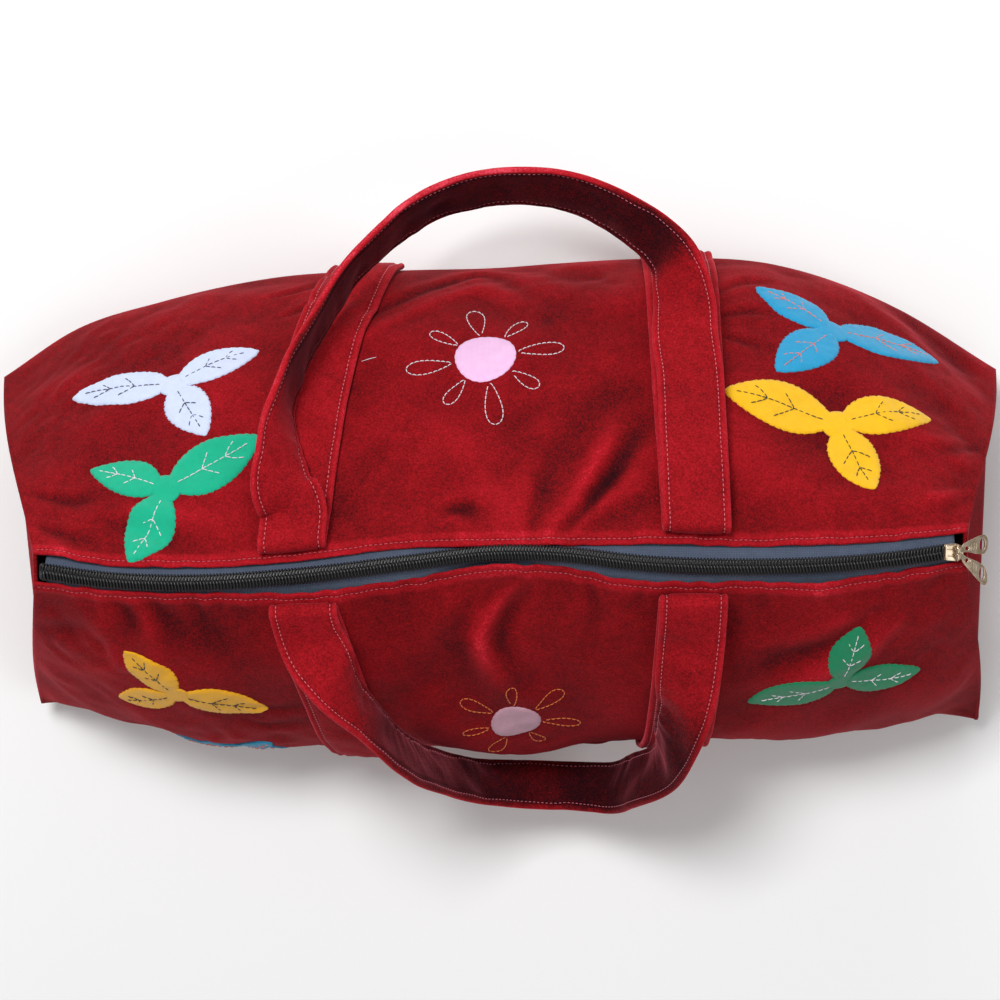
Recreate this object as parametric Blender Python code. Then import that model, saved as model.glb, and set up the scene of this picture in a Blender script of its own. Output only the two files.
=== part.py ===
"""Velvet handbag: a long soft bag closed by a zip along its ridge, standing on its base with
both handles fallen outwards. +X runs along the zip, +Y is the back, +Z is up, metres."""

import math

import bmesh
import bpy
import numpy as np
from mathutils import Vector
from mathutils.geometry import tessellate_polygon

ZIP_LENGTH = 0.606
HEIGHT = 0.235
HALF_DEPTH = 0.160
BACK_SEAM_LENGTH = 0.708
FRONT_SEAM_LENGTH = 0.682
FRONT_SEAM_SHIFT = 0.007
FRONT_TUCK = 0.016
BACK_SEAM_LIFT = 0.036
FRONT_SEAM_LIFT = 0.024
END_SEAM_LIFT = 0.018
GUSSET_FOLD_SHARE = 0.20
CLOTH = 0.0024
GAP = 0.0004
CORNER_REACH = 1.25

TAPE_SHOWN = 0.012
TAPE_THICK = 0.0010
COIL_WIDTH = 0.0100
COIL_HEIGHT = 0.0036
ZIP_BEND = 0.003
ZIP_TAIL = 0.005

STRAP_WIDTH = 0.044
STRAP_THICK = 0.0048
STRAP_LIFT = 0.0009
STRAP_FOLD_RADIUS = 0.0038
STRAP_PROFILE = (
    (-0.45, 0.5), (0, 0.5), (0.45, 0.5), (0.5, 0), (0.45, -0.5), (0, -0.5), (-0.45, -0.5), (-0.5, 0),
)
LOOP_RINGS = 49

PATCH_THICK = 0.0010
PATCH_LIFT = 0.0008
PANEL_SLANT = 0.270

SLIDER_X = 0.2870
COIL_CLEARANCE = 0.0010
COIL_REACH = SLIDER_X - COIL_CLEARANCE
SLIDER_LENGTH = 0.0125
SLIDER_WIDTH = 0.0112
SLIDER_HEIGHT = 0.0042
BAIL_X = 0.0075
BAIL_RISE = 0.0027
BAIL_BAR = 0.0015
BAIL_BEND = 0.0010
PULL_SPACING = 0.0040
PULL_LENGTH = 0.0235
PULL_THICK = 0.0012
PULL_ROOT = 0.0034
PULL_END = 0.0128
PULL_EYE = 0.0019
PULL_DROOP = 14.0

ALONG_CELLS = 32
PANEL_CELLS = 14
BASE_CELLS = 7
GUSSET_CELLS = 6

# Sections of the bag along the zip: zip line sideways, back and front reach (of HALF_DEPTH),
# tape shown behind and in front of the coil (of TAPE_SHOWN), height of the zip line (of HEIGHT)
SECTIONS = (
    # along, zip_y, tape_back, tape_front, zip_z, back, front
    (-1.00, -0.030, 0.92, 0.78, 0.925, 0.690, 0.800),
    (-0.86, -0.060, 0.85, 0.74, 0.965, 0.895, 0.860),
    (-0.68, -0.072, 0.88, 0.70, 0.985, 1.025, 0.920),
    (-0.44, -0.045, 0.86, 0.98, 0.990, 1.135, 0.945),
    (-0.20, 0.008, 0.90, 1.15, 0.985, 1.163, 0.955),
    (0.00, 0.050, 0.40, 0.62, 0.985, 1.175, 0.990),
    (0.12, 0.046, 0.56, 0.90, 0.990, 1.195, 0.960),
    (0.30, 0.010, 1.08, 1.08, 1.000, 1.215, 0.925),
    (0.55, -0.004, 1.18, 0.98, 1.000, 1.190, 0.915),
    (0.80, 0.014, 1.10, 0.96, 0.975, 0.995, 0.905),
    (1.00, 0.055, 0.95, 0.75, 0.925, 0.725, 0.875),
)
ZIP_Y, TAPE_BACK, TAPE_FRONT, ZIP_Z, REACH_BACK, REACH_FRONT = range(1, 7)

# Soft ridges (+) and dents (-) on the panels: side, place along and down, half length and
# half width (of HEIGHT), turn of the ridge from the zip in degrees, height (of HEIGHT)
FOLDS = (
    # side, along, down, length, width, turn, height
    (1, 0.22, 0.28, 0.42, 0.10, -52, 0.020),
    (1, 0.05, 0.22, 0.34, 0.09, -66, 0.016),
    (1, -0.12, 0.10, 0.10, 0.07, 0, -0.018),
    (1, -0.62, 0.30, 0.45, 0.12, 38, 0.014),
    (1, 0.62, 0.18, 0.50, 0.12, -20, 0.014),
    (1, -0.30, 0.80, 0.30, 0.08, 60, 0.014),
    (-1, -0.06, 0.22, 0.28, 0.08, 62, 0.030),
    (-1, 0.03, 0.20, 0.26, 0.07, 74, -0.022),
    (-1, -0.72, 0.14, 0.34, 0.09, 12, 0.016),
    (-1, 0.72, 0.34, 0.44, 0.10, 32, 0.018),
    (-1, 0.58, 0.22, 0.34, 0.08, 28, -0.016),
)

# Handle legs sewn on the panels: place along at five steps from the base seam to the zip
LEGS = {
    "back_left": (1, (-0.262, -0.300, -0.362, -0.404, -0.438)),
    "back_right": (1, (0.352, 0.360, 0.373, 0.392, 0.413)),
    "front_left": (-1, (-0.262, -0.286, -0.330, -0.374, -0.418)),
    "front_right": (-1, (0.338, 0.344, 0.366, 0.388, 0.408)),
}
LEG_STEPS = (1.0, 0.78, 0.50, 0.24, 0.035)

# Free loops from the left fold to the right one: centre of the strap along (of half the zip),
# outwards (of HALF_DEPTH), up (of HEIGHT) and its roll in degrees, the outer edge up
BACK_LOOP = (
    # along, out, up, roll
    (-0.459, 0.315, 0.972, 24),
    (-0.465, 0.425, 0.941, 50),
    (-0.469, 0.594, 0.874, 70),
    (-0.444, 0.777, 0.801, 75),
    (-0.393, 0.967, 0.702, 76),
    (-0.330, 1.162, 0.615, 75),
    (-0.256, 1.309, 0.545, 70),
    (-0.148, 1.454, 0.490, 63),
    (0.000, 1.524, 0.465, 59),
    (0.153, 1.503, 0.465, 57),
    (0.277, 1.400, 0.490, 51),
    (0.378, 1.238, 0.545, 43),
    (0.405, 1.050, 0.625, 24),
    (0.405, 0.900, 0.705, 7),
)
FRONT_LOOP = (
    # along, out, up, roll
    (-0.360, 0.462, 0.952, 36),
    (-0.306, 0.619, 0.862, 66),
    (-0.232, 0.824, 0.716, 75),
    (-0.147, 0.992, 0.487, 73),
    (-0.042, 1.102, 0.309, 63),
    (0.051, 1.142, 0.225, 54),
    (0.156, 1.160, 0.180, 51),
    (0.253, 1.152, 0.200, 56),
    (0.313, 1.055, 0.446, 62),
    (0.363, 0.949, 0.587, 66),
    (0.384, 0.798, 0.733, 52),
    (0.399, 0.645, 0.828, 38),
    (0.405, 0.488, 0.895, 18),
    (0.410, 0.326, 0.936, 7),
)

# Start of the free loops over their own legs: place down and rise over the folded strap
LEADS = {
    "back_left": ((LEG_STEPS[-1], 0.0), (0.10, 0.0026)),
    "back_right": ((LEG_STEPS[-1], 0.0), (0.14, 0.0030), (0.26, 0.0050), (0.40, 0.0080)),
    "front_left": ((LEG_STEPS[-1], 0.0), (0.10, 0.0026)),
    "front_right": ((LEG_STEPS[-1], 0.0), (0.10, 0.0026)),
}

# Leaf sprigs: side, place along and down, turn in degrees, size (of HEIGHT), cloth
SPRIGS = {
    "patch_white": (1, -0.655, 0.52, 160, 0.50, "felt_white"),
    "patch_green": (1, -0.690, 0.20, 22, 0.52, "felt_green"),
    "patch_blue": (1, 0.665, 0.66, 20, 0.54, "felt_blue"),
    "patch_yellow": (1, 0.690, 0.34, 168, 0.56, "felt_yellow"),
    "patch_gold": (-1, -0.690, 0.36, 14, 0.46, "felt_gold"),
    "patch_teal": (-1, 0.705, 0.34, 158, 0.48, "felt_teal"),
    "patch_sky": (-1, -0.560, 0.74, 172, 0.34, "felt_sky"),
}
DISCS = {
    "patch_pink": (1, -0.030, 0.50, 0.020, "felt_pink"),
    "patch_mauve": (-1, 0.020, 0.50, 0.017, "felt_mauve"),
}
# Leaves of a sprig: turn in degrees, length and half width (of the sprig's size)
LEAVES = (
    # turn, length, half
    (0, 0.60, 0.120),
    (128, 0.46, 0.100),
    (222, 0.50, 0.105),
)
LEAF_HUB = 0.060
LEAF_ROOT = 0.030

COLOURS = {
    "velvet_red": ((0.225, 0.008, 0.012), 0.80, 0.0),
    "velvet_strap": ((0.270, 0.010, 0.014), 0.80, 0.0),
    "tape_slate": ((0.040, 0.052, 0.066), 0.85, 0.0),
    "coil_black": ((0.010, 0.010, 0.011), 0.35, 0.0),
    "nickel": ((0.62, 0.54, 0.43), 0.30, 1.0),
    "felt_white": ((0.70, 0.76, 0.95), 0.90, 0.0),
    "felt_green": ((0.010, 0.52, 0.34), 0.90, 0.0),
    "felt_blue": ((0.03, 0.40, 0.70), 0.90, 0.0),
    "felt_yellow": ((0.92, 0.56, 0.02), 0.90, 0.0),
    "felt_gold": ((0.78, 0.40, 0.01), 0.90, 0.0),
    "felt_teal": ((0.012, 0.24, 0.11), 0.90, 0.0),
    "felt_sky": ((0.02, 0.28, 0.45), 0.90, 0.0),
    "felt_pink": ((0.92, 0.64, 0.90), 0.90, 0.0),
    "felt_mauve": ((0.60, 0.33, 0.42), 0.90, 0.0),
}


def unit(vectors):
    """Vectors scaled to length one."""
    return vectors / np.linalg.norm(vectors, axis=-1, keepdims=True)


def curve_through(at, stops, values):
    """Smooth curve through values at stops, read at the places asked for."""
    stops = np.asarray(stops, float)
    values = np.asarray(values, float)
    slopes = np.gradient(values, stops, axis=0)
    at = np.clip(np.asarray(at, float), stops[0], stops[-1])
    i = np.clip(np.searchsorted(stops, at) - 1, 0, len(stops) - 2)
    step = stops[i + 1] - stops[i]
    u = (at - stops[i]) / step
    if values.ndim > 1:
        step, u = step[..., None], u[..., None]
    start = (2 * u**3 - 3 * u**2 + 1) * values[i] + (u**3 - 2 * u**2 + u) * step * slopes[i]
    end = (3 * u**2 - 2 * u**3) * values[i + 1] + (u**3 - u**2) * step * slopes[i + 1]
    return start + end


def section(along, column):
    """A column of the section table read at a place along the zip."""
    rows = np.array(SECTIONS)
    return curve_through(along, rows[:, 0], rows[:, column])


def zip_line(along):
    """Sideways place and height of the zip."""
    return HALF_DEPTH * section(along, ZIP_Y), HEIGHT * section(along, ZIP_Z)


def base_height(along, across):
    """Height of the base: flat in the middle, turned up at its seams (across 0 front, 1 back)."""
    back = BACK_SEAM_LIFT * np.clip((across - 0.78) / 0.22, 0, 1) ** 2.2
    front = FRONT_SEAM_LIFT * np.clip((0.22 - across) / 0.22, 0, 1) ** 2.2
    end = END_SEAM_LIFT * np.clip((np.abs(along) - 0.88) / 0.12, 0, 1) ** 2.0
    return np.sqrt(back**2 + front**2 + end**2)


def panel_x(side, along, down):
    """The panel grows longer from the zip to its bottom seam."""
    seam = BACK_SEAM_LENGTH if side > 0 else FRONT_SEAM_LENGTH
    shift = 0.0 if side > 0 else FRONT_SEAM_SHIFT
    grow = 0.5 * down + 0.5 * np.sin(0.5 * math.pi * down)
    return along * (ZIP_LENGTH + (seam - ZIP_LENGTH) * grow) / 2 + shift * grow


def plain_panel(side, along, down):
    """Panel without its folds: a curve from the hem beside the zip out and down to the seam."""
    along, down = np.broadcast_arrays(np.asarray(along, float), np.asarray(down, float))
    back = side > 0
    zip_y, zip_z = zip_line(along)
    shown = TAPE_SHOWN * section(along, TAPE_BACK if back else TAPE_FRONT)
    full = 1 - np.abs(np.clip(along, -1, 1)) ** 5
    reach = HALF_DEPTH * section(along, REACH_BACK if back else REACH_FRONT)
    tuck = 0.0 if back else FRONT_TUCK
    hem = np.stack([zip_y * side + shown, zip_z - 0.35 * shown], -1)
    seam = np.stack([reach - tuck * full, base_height(along, 1.0 if back else 0.0)], -1)
    chord = seam - hem
    length = np.linalg.norm(chord, axis=-1)[..., None]
    slope = np.arctan2(-chord[..., 1], chord[..., 0])
    leave = slope + (math.radians(30) - slope) * (0.35 + 0.65 * full)
    land = slope + (math.radians(84 if back else 132) - slope) * full
    first = hem + 0.36 * length * np.stack([np.cos(leave), -np.sin(leave)], -1)
    last = seam + 0.34 * length * np.stack([-np.cos(land), np.sin(land)], -1)
    t = down[..., None]
    out = (1 - t)**3 * hem + 3 * (1 - t)**2 * t * first + 3 * (1 - t) * t**2 * last + t**3 * seam
    return np.stack([panel_x(side, along, down), side * out[..., 0], out[..., 1]], -1)


def fold_height(side, along, down):
    """Sum of the soft ridges and dents, dying out at the panel's edges."""
    total = np.zeros(np.broadcast(along, down).shape)
    half, slant = ZIP_LENGTH / 2 / HEIGHT, 1.15
    for row in FOLDS:
        if row[0] != side:
            continue
        _, at, low, length, width, turn, height = row
        dx, dy = (along - at) * half, (down - low) * slant
        c, s = math.cos(math.radians(turn)), math.sin(math.radians(turn))
        run, off = dx * c + dy * s, -dx * s + dy * c
        total = total + height * np.exp(-(off / width) ** 2 - (run / length) ** 4)
    edge = np.minimum(np.minimum(down, 1 - down) / 0.12, (1 - np.abs(along)) / 0.10)
    edge = np.clip(edge, 0, 1)
    return HEIGHT * total * edge * edge * (3 - 2 * edge)


def facing(surface, a, b):
    """Normal of a surface(a, b), by small steps to both sides."""
    e = 1e-3
    across_a = surface(a + e, b) - surface(a - e, b)
    across_b = surface(a, b + e) - surface(a, b - e)
    return unit(np.cross(across_a, across_b))


def panel_normal(side, along, down):
    """Outward normal of the plain panel."""
    inside_a = np.clip(along, -0.999, 0.999)
    inside_d = np.clip(down, 0.001, 0.999)
    return side * facing(lambda a, d: plain_panel(side, a, d), inside_a, inside_d)


def panel(side, along, down):
    """Outer face of a panel with its folds."""
    along, down = np.broadcast_arrays(np.asarray(along, float), np.asarray(down, float))
    lift = fold_height(side, along, down)[..., None]
    return plain_panel(side, along, down) + lift * panel_normal(side, along, down)


def base(along, across):
    """Base: ruled from the front seam to the back seam, with its height curve."""
    along, across = np.broadcast_arrays(np.asarray(along, float), np.asarray(across, float))
    front = plain_panel(-1, along, np.ones_like(along))
    back = plain_panel(1, along, np.ones_like(along))
    flat = front + (back - front) * across[..., None]
    return np.stack([flat[..., 0], flat[..., 1], base_height(along, across)], -1)


def gusset(end, down, across):
    """End gusset between the two panels' edges, folded inwards."""
    down, across = np.broadcast_arrays(np.asarray(down, float), np.asarray(across, float))
    front = plain_panel(-1, np.full_like(down, end), down)
    back = plain_panel(1, np.full_like(down, end), down)
    flat = front + (back - front) * across[..., None]
    low = base(np.full_like(across, end), across)
    straight = base(np.full_like(across, end), np.zeros_like(across)) * (1 - across[..., None])
    straight = straight + base(np.full_like(across, end), np.ones_like(across)) * across[..., None]
    flat = flat + (low - straight) * down[..., None] ** 6
    width = np.linalg.norm(back - front, axis=-1)
    fold = GUSSET_FOLD_SHARE * width * np.sin(math.pi * down)**1.2 * np.sin(math.pi * across)
    flat[..., 0] -= end * fold
    return flat


def finish_named(name):
    """Material of this name, made once."""
    made = bpy.data.materials.get(name)
    if made is None:
        colour, rough, metal = COLOURS[name]
        made = bpy.data.materials.new(name)
        made.use_nodes = True
        shader = made.node_tree.nodes["Principled BSDF"]
        shader.inputs["Base Color"].default_value = (*colour, 1.0)
        shader.inputs["Roughness"].default_value = rough
        shader.inputs["Metallic"].default_value = metal
    return made


def add_node(name, points, faces, material):
    """New mesh object from points and faces, outward faces, one material."""
    mesh = bpy.data.meshes.new(name)
    mesh.from_pydata([tuple(map(float, p)) for p in points], [], faces)
    mesh.validate()
    item = bpy.data.objects.new(name, mesh)
    item.data.materials.append(finish_named(material))
    bpy.context.collection.objects.link(item)
    return item


def volume(points, faces):
    """Signed volume, positive when the faces look outwards."""
    total = 0.0
    for face in faces:
        a = points[face[0]]
        for i in range(1, len(face) - 1):
            total += np.dot(a, np.cross(points[face[i]], points[face[i + 1]])) / 6
    return total


def outward(points, faces):
    """Faces turned so that they look outwards."""
    if volume(points, faces) < 0:
        return [tuple(reversed(face)) for face in faces]
    return faces


def shell(name, outer, inner, material):
    """Closed solid between two grids of points with the same rows and columns."""
    rows, cols = outer.shape[:2]
    points = np.concatenate([outer.reshape(-1, 3), inner.reshape(-1, 3)])
    n = rows * cols
    faces = []
    for i in range(rows - 1):
        for j in range(cols - 1):
            a, b, c, d = i * cols + j, (i + 1) * cols + j, (i + 1) * cols + j + 1, i * cols + j + 1
            faces.append((a, b, c, d))
            faces.append((n + d, n + c, n + b, n + a))
    rim = [j for j in range(cols)]
    rim += [i * cols + cols - 1 for i in range(1, rows)]
    rim += [(rows - 1) * cols + j for j in range(cols - 2, -1, -1)]
    rim += [i * cols for i in range(rows - 2, 0, -1)]
    for k, a in enumerate(rim):
        b = rim[(k + 1) % len(rim)]
        faces.append((a, b, n + b, n + a))
    return add_node(name, points, outward(points, faces), material)


def tube(name, rings, material):
    """Closed solid swept through rings of the same number of points, flat at both ends."""
    count, size = rings.shape[:2]
    points = rings.reshape(-1, 3)
    faces = [tuple(range(size)), tuple(range((count - 1) * size, count * size))[::-1]]
    for i in range(count - 1):
        for j in range(size):
            k = (j + 1) % size
            faces.append((i * size + k, i * size + j, (i + 1) * size + j, (i + 1) * size + k))
    return add_node(name, points, outward(points, faces), material)


def mitred(grid, normals, edges):
    """Grid and inward offset of a cloth piece; each edge is pulled back by half the gap and its
    wall follows the direction shared with the neighbour (edges: side name -> shared normals)."""
    outer = grid.copy()
    thick = np.full(grid.shape[:2] + (1,), CLOTH)
    walls = normals.copy()
    weight = np.zeros(grid.shape[:2] + (1,))
    turned = np.zeros_like(walls)
    places = {"first_row": (0, slice(None), 1, 0), "last_row": (-1, slice(None), -2, 0),
              "first_col": (slice(None), 0, 1, 1), "last_col": (slice(None), -1, -2, 1)}
    shift = np.zeros_like(grid)
    for edge, shared in edges.items():
        row, col, inner, axis = places[edge]
        beside = grid[inner, :] if axis == 0 else grid[:, inner]
        here = grid[row, col]
        inward = unit(beside - here)
        if shared is None:
            shift[row, col] += inward * GAP / 2
            continue
        turned[row, col] += shared
        weight[row, col] += 1
        inward = inward - np.sum(inward * shared, -1, keepdims=True) * shared
        shift[row, col] += unit(inward) * GAP / 2
    moved = weight[..., 0] > 0
    lean = unit(turned[moved])
    reach = 1 / np.clip(np.sum(lean * normals[moved], -1, keepdims=True), 0.72, 1.0)
    walls[moved] = lean
    thick[moved] = CLOTH * np.where(weight[moved] > 1, CORNER_REACH, reach)
    outer = outer + shift
    return outer, outer - walls * thick


def shared_normals(first, second):
    """Direction between two faces' normals."""
    return unit(first + second)


def body_pieces():
    """Panels, base and gussets, each cut back from its neighbours by a thin gap."""
    along = np.linspace(-1, 1, ALONG_CELLS + 1)
    down = np.linspace(0, 1, PANEL_CELLS + 1)
    across = np.linspace(0, 1, BASE_CELLS + 1)
    between = np.linspace(0, 1, GUSSET_CELLS + 1)
    between = 0.5 - 0.5 * np.cos(math.pi * between) * 0.25 - 0.75 * (0.5 - between)
    inner_along = np.clip(along, -0.999, 0.999)

    def base_normal(a, q):
        a, q = np.clip(a, -0.999, 0.999), np.clip(q, 0.001, 0.999)
        return -facing(base, a, q)

    def gusset_normal(end, d, q):
        d, q = np.clip(d, 0.001, 0.999), np.clip(q, 0.001, 0.999)
        return end * facing(lambda x, y: gusset(end, x, y), d, q)

    seam, ends = {}, {}
    for side, edge in ((1, 1.0), (-1, 0.0)):
        seam[side] = shared_normals(panel_normal(side, inner_along, np.ones_like(along)),
                                    base_normal(inner_along, np.full_like(along, edge)))
        for end in (-1, 1):
            ends[side, end] = shared_normals(
                panel_normal(side, np.full_like(down, end), down),
                gusset_normal(end, down, np.full_like(down, edge)))
    foot, foot_between = {}, {}
    for end in (-1, 1):
        for places, store in ((across, foot), (between, foot_between)):
            store[end] = shared_normals(base_normal(np.full_like(places, end), places),
                                        gusset_normal(end, np.ones_like(places), places))
        for side, last in ((1, -1), (-1, 0)):
            tip = -1 if end > 0 else 0
            corner = unit(seam[side][tip] + ends[side, end][-1] + foot[end][last])
            seam[side][tip] = ends[side, end][-1] = corner
            foot[end][last] = foot_between[end][last] = corner
    a_grid, d_grid = np.meshgrid(along, down, indexing="ij")
    for side, name in ((1, "back_panel"), (-1, "front_panel")):
        grid = panel(side, a_grid, d_grid)
        normals = panel_normal(side, a_grid, d_grid)
        outer, inner = mitred(grid, normals, {
            "first_row": ends[side, -1], "last_row": ends[side, 1], "last_col": seam[side]})
        shell(name, outer, inner, "velvet_red")
    a_grid, q_grid = np.meshgrid(along, across, indexing="ij")
    outer, inner = mitred(base(a_grid, q_grid), base_normal(a_grid, q_grid), {
        "first_row": foot[-1], "last_row": foot[1], "first_col": seam[-1], "last_col": seam[1]})
    shell("base_panel", outer, inner, "velvet_red")
    d_grid, q_grid = np.meshgrid(down, between, indexing="ij")
    for end, name in ((-1, "end_gusset_left"), (1, "end_gusset_right")):
        grid = gusset(end, d_grid, q_grid)
        outer, inner = mitred(grid, gusset_normal(end, d_grid, q_grid), {
            "last_row": foot_between[end], "first_col": ends[-1, end], "last_col": ends[1, end]})
        shell(name, outer, inner, "velvet_red")


def bent_line(flat, bend):
    """Places along the zip with a quarter bend and a tail down over each end: x, drop, lean."""
    turn = np.radians([30, 60, 90, 90])
    over = bend * np.sin(turn)
    down = bend * (1 - np.cos(turn)) + ZIP_TAIL * np.array([0, 0, 0, 1])
    x = np.concatenate([flat[0] - over[::-1], flat, flat[-1] + over])
    drop = np.concatenate([down[::-1], np.zeros(len(flat)), down])
    lean = np.concatenate([-turn[::-1], np.zeros(len(flat)), turn])
    return x, drop, lean


def zip_pieces():
    """Two woven tapes running under the hems and the closed coil between them."""
    half = ZIP_LENGTH / 2
    reach = half - CLOTH - 2 * GAP - ZIP_BEND - COIL_HEIGHT - 0.001
    flat = np.linspace(-reach, reach, ALONG_CELLS + 1)
    x, drop, lean = bent_line(flat, ZIP_BEND)
    along = np.clip(x, -reach, reach) / half
    zip_y, zip_z = zip_line(along)
    up = np.stack([np.sin(lean), np.zeros_like(lean), np.cos(lean)], -1)
    for side, name in ((1, "zip_tape_back"), (-1, "zip_tape_front")):
        first = np.stack([x, zip_y + side * 0.0006, zip_z - COIL_HEIGHT / 2 - GAP - drop], -1)
        rows = [(first, up)]
        for low in (0.0, 0.030):
            place = panel(side, along, np.full_like(along, low))
            normal = panel_normal(side, along, np.full_like(along, low))
            under = place - normal * (CLOTH + 2.5 * GAP)
            under[:, 0] = x
            under[:, 2] -= drop
            rows.append((under, unit(normal + np.abs(np.sin(lean))[:, None] * up)))
        outer = np.stack([r[0] for r in rows], 1)
        inner = np.stack([r[0] - r[1] * TAPE_THICK for r in rows], 1)
        shell(name, outer, inner, "tape_slate")
    x, drop, lean = bent_line(flat, ZIP_BEND + COIL_HEIGHT / 2 + GAP)
    keep = (x < COIL_REACH - 0.003) & (np.arange(len(x)) < len(x) - 4)
    x, drop, lean = (np.append(v[keep], last) for v, last in ((x, COIL_REACH), (drop, 0), (lean, 0)))
    along = np.clip(x, -reach, reach) / half
    zip_y, zip_z = zip_line(along)
    up = np.stack([np.sin(lean), np.zeros_like(lean), np.cos(lean)], -1)
    centre = np.stack([x, zip_y, zip_z - drop], -1)
    rings = []
    for wide, high in ((0.5, 0.0), (0.3, 0.5), (-0.3, 0.5), (-0.5, 0.0), (-0.3, -0.5), (0.3, -0.5)):
        aside = np.array([0.0, wide * COIL_WIDTH, 0.0])
        rings.append(centre + aside + up * high * COIL_HEIGHT)
    tube("zip_coil", np.stack(rings, 1), "coil_black")


def leg_rings(name, turned):
    """Rings of the strap sewn flat on a panel, from the base seam up to its fold."""
    side, places = LEGS[name]
    rows = np.arange(PANEL_CELLS - 1, 0, -1) / PANEL_CELLS
    down = np.concatenate([[LEG_STEPS[0] - 0.012], rows, [LEG_STEPS[-1]]])
    middle = curve_through(-down, [-s for s in LEG_STEPS], places)
    rings = []
    for across, high in STRAP_PROFILE:
        along = middle + turned * across * STRAP_WIDTH / (ZIP_LENGTH / 2)
        normal = panel_normal(side, along, down)
        rings.append(panel(side, along, down) + normal * (STRAP_LIFT + (0.5 - high) * STRAP_THICK))
    return np.stack(rings, 1)


def strap_frame(points, roll):
    """Width and thickness directions of a strap along a path, rolled from the level."""
    tangent = unit(np.gradient(points, axis=0))
    level, rise = level_frame(tangent)
    roll = np.radians(roll)[:, None]
    width = np.cos(roll) * level + np.sin(roll) * rise
    return width, np.cross(width, tangent)


def strap_rings(points, width, thick):
    """Flat eight-sided rings around a path."""
    rings = [points + width * w * STRAP_WIDTH + thick * h * STRAP_THICK for w, h in STRAP_PROFILE]
    return np.stack(rings, 1)


def fold_rings(top):
    """Half turn of the strap over the top of a sewn leg, from the leg's last ring."""
    normal = unit(top[5] - top[1])
    edge = unit(top[3] - top[7])
    upward = unit(np.cross(edge, normal))
    upward = upward * np.sign(upward[2])
    centre = top[5] + normal * (STRAP_FOLD_RADIUS - STRAP_THICK / 2)
    rings = []
    for turn in np.radians([30, 60, 90, 120, 150]):
        away = upward * math.sin(turn) - normal * math.cos(turn)
        middle = centre + away * STRAP_FOLD_RADIUS
        rings.append([middle + edge * w * STRAP_WIDTH + away * h * STRAP_THICK
                      for w, h in STRAP_PROFILE])
    return np.array(rings)


def level_frame(tangent):
    """Level direction across a path and the one rising from it."""
    level = unit(np.cross(tangent, np.array([0.0, 0.0, 1.0])))
    return level, np.cross(level, tangent)


def free_path(side, legs, table):
    """Path and roll of the free loop from one fold to the other."""
    high = STRAP_LIFT + STRAP_THICK / 2 + 2 * STRAP_FOLD_RADIUS
    lead, flat = [], []
    for leg, way in zip(legs, (1, -1)):
        down, spring = np.array(LEADS[leg]).T
        middle = curve_through(-down, [-s for s in LEG_STEPS], LEGS[leg][1])
        normal = panel_normal(side, middle, down)
        lead.append(panel(side, middle, down) + normal * (high + spring[:, None]))
        level, rise = level_frame(unit(way * np.gradient(lead[-1], axis=0)))
        across, upright = np.sum(normal * level, -1), np.sum(normal * rise, -1)
        flat.append(np.degrees(np.arctan2(-across, upright)))
    rows = np.array(table)
    stations = rows[:, :3] * np.array([ZIP_LENGTH / 2, side * HALF_DEPTH, HEIGHT])
    points = np.concatenate([lead[0], stations, lead[1][::-1]])
    roll = np.concatenate([flat[0], rows[:, 3] * -side, flat[1][::-1]])
    steps = np.append(0, np.cumsum(np.linalg.norm(np.diff(points, axis=0), axis=1)))
    at = np.linspace(0, steps[-1], LOOP_RINGS)
    return curve_through(at, steps, points), curve_through(at, steps, roll)


def handle(name, side, legs, table):
    """Strap sewn up a panel, folded over beside the zip, falling outwards in a loop and sewn
    down the other leg the same way."""
    first = leg_rings(legs[0], side)
    last = leg_rings(legs[1], -side)
    path, roll = free_path(side, legs, table)
    width, thick = strap_frame(path, roll)
    loop = strap_rings(path, width, thick)[1:-1]
    rings = [first, fold_rings(first[-1]), loop, fold_rings(last[-1])[::-1], last[::-1]]
    tube(name, np.concatenate(rings), "velvet_strap")


def lay_on_panel(side, place, turn, flat, lift):
    """Points drawn flat (metres) laid on a panel around a place, at a height over it."""
    along, down = place
    c, s = math.cos(math.radians(turn)), math.sin(math.radians(turn))
    x = flat[:, 0] * c - flat[:, 1] * s
    y = flat[:, 0] * s + flat[:, 1] * c
    at = along + x / (ZIP_LENGTH / 2 * 1.08)
    low = down + y / PANEL_SLANT
    return panel(side, at, low) + panel_normal(side, at, low) * lift


def sheet_solid(name, top, bottom, cells, material):
    """Closed solid from a flat net of cells given at its two heights."""
    count = len(top)
    faces = [tuple(cell) for cell in cells] + [tuple(k + count for k in reversed(cell)) for cell in cells]
    edges = {(a, b) for cell in cells for a, b in zip(cell, cell[1:] + cell[:1])}
    for a, b in sorted(edges):
        if (b, a) not in edges:
            faces.append((b, a, a + count, b + count))
    points = np.concatenate([top, bottom])
    add_node(name, points, outward(points, faces), material)


def sprig_net(size):
    """Flat net of three pointed leaves around a small hub."""
    points, cells, hub = [(0.0, 0.0)], [], []
    steps = np.linspace(0, 1, 6)
    for turn, length, half in LEAVES:
        c, s = math.cos(math.radians(turn)), math.sin(math.radians(turn))
        start = len(points)
        for u in steps:
            run = size * (LEAF_HUB + (length - LEAF_HUB) * u)
            wide = size * (LEAF_ROOT * (1 - u) + half * math.sin(math.pi * u**0.85) ** 0.8 + 0.006)
            points.append((run * c + wide * s, run * s - wide * c))
            points.append((run * c - wide * s, run * s + wide * c))
        for k in range(len(steps) - 1):
            a = start + 2 * k
            cells.append((a, a + 2, a + 3, a + 1))
        hub += [start, start + 1]
    for k, a in enumerate(hub):
        cells.append((0, a, hub[(k + 1) % len(hub)]))
    return np.array(points), cells


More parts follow.
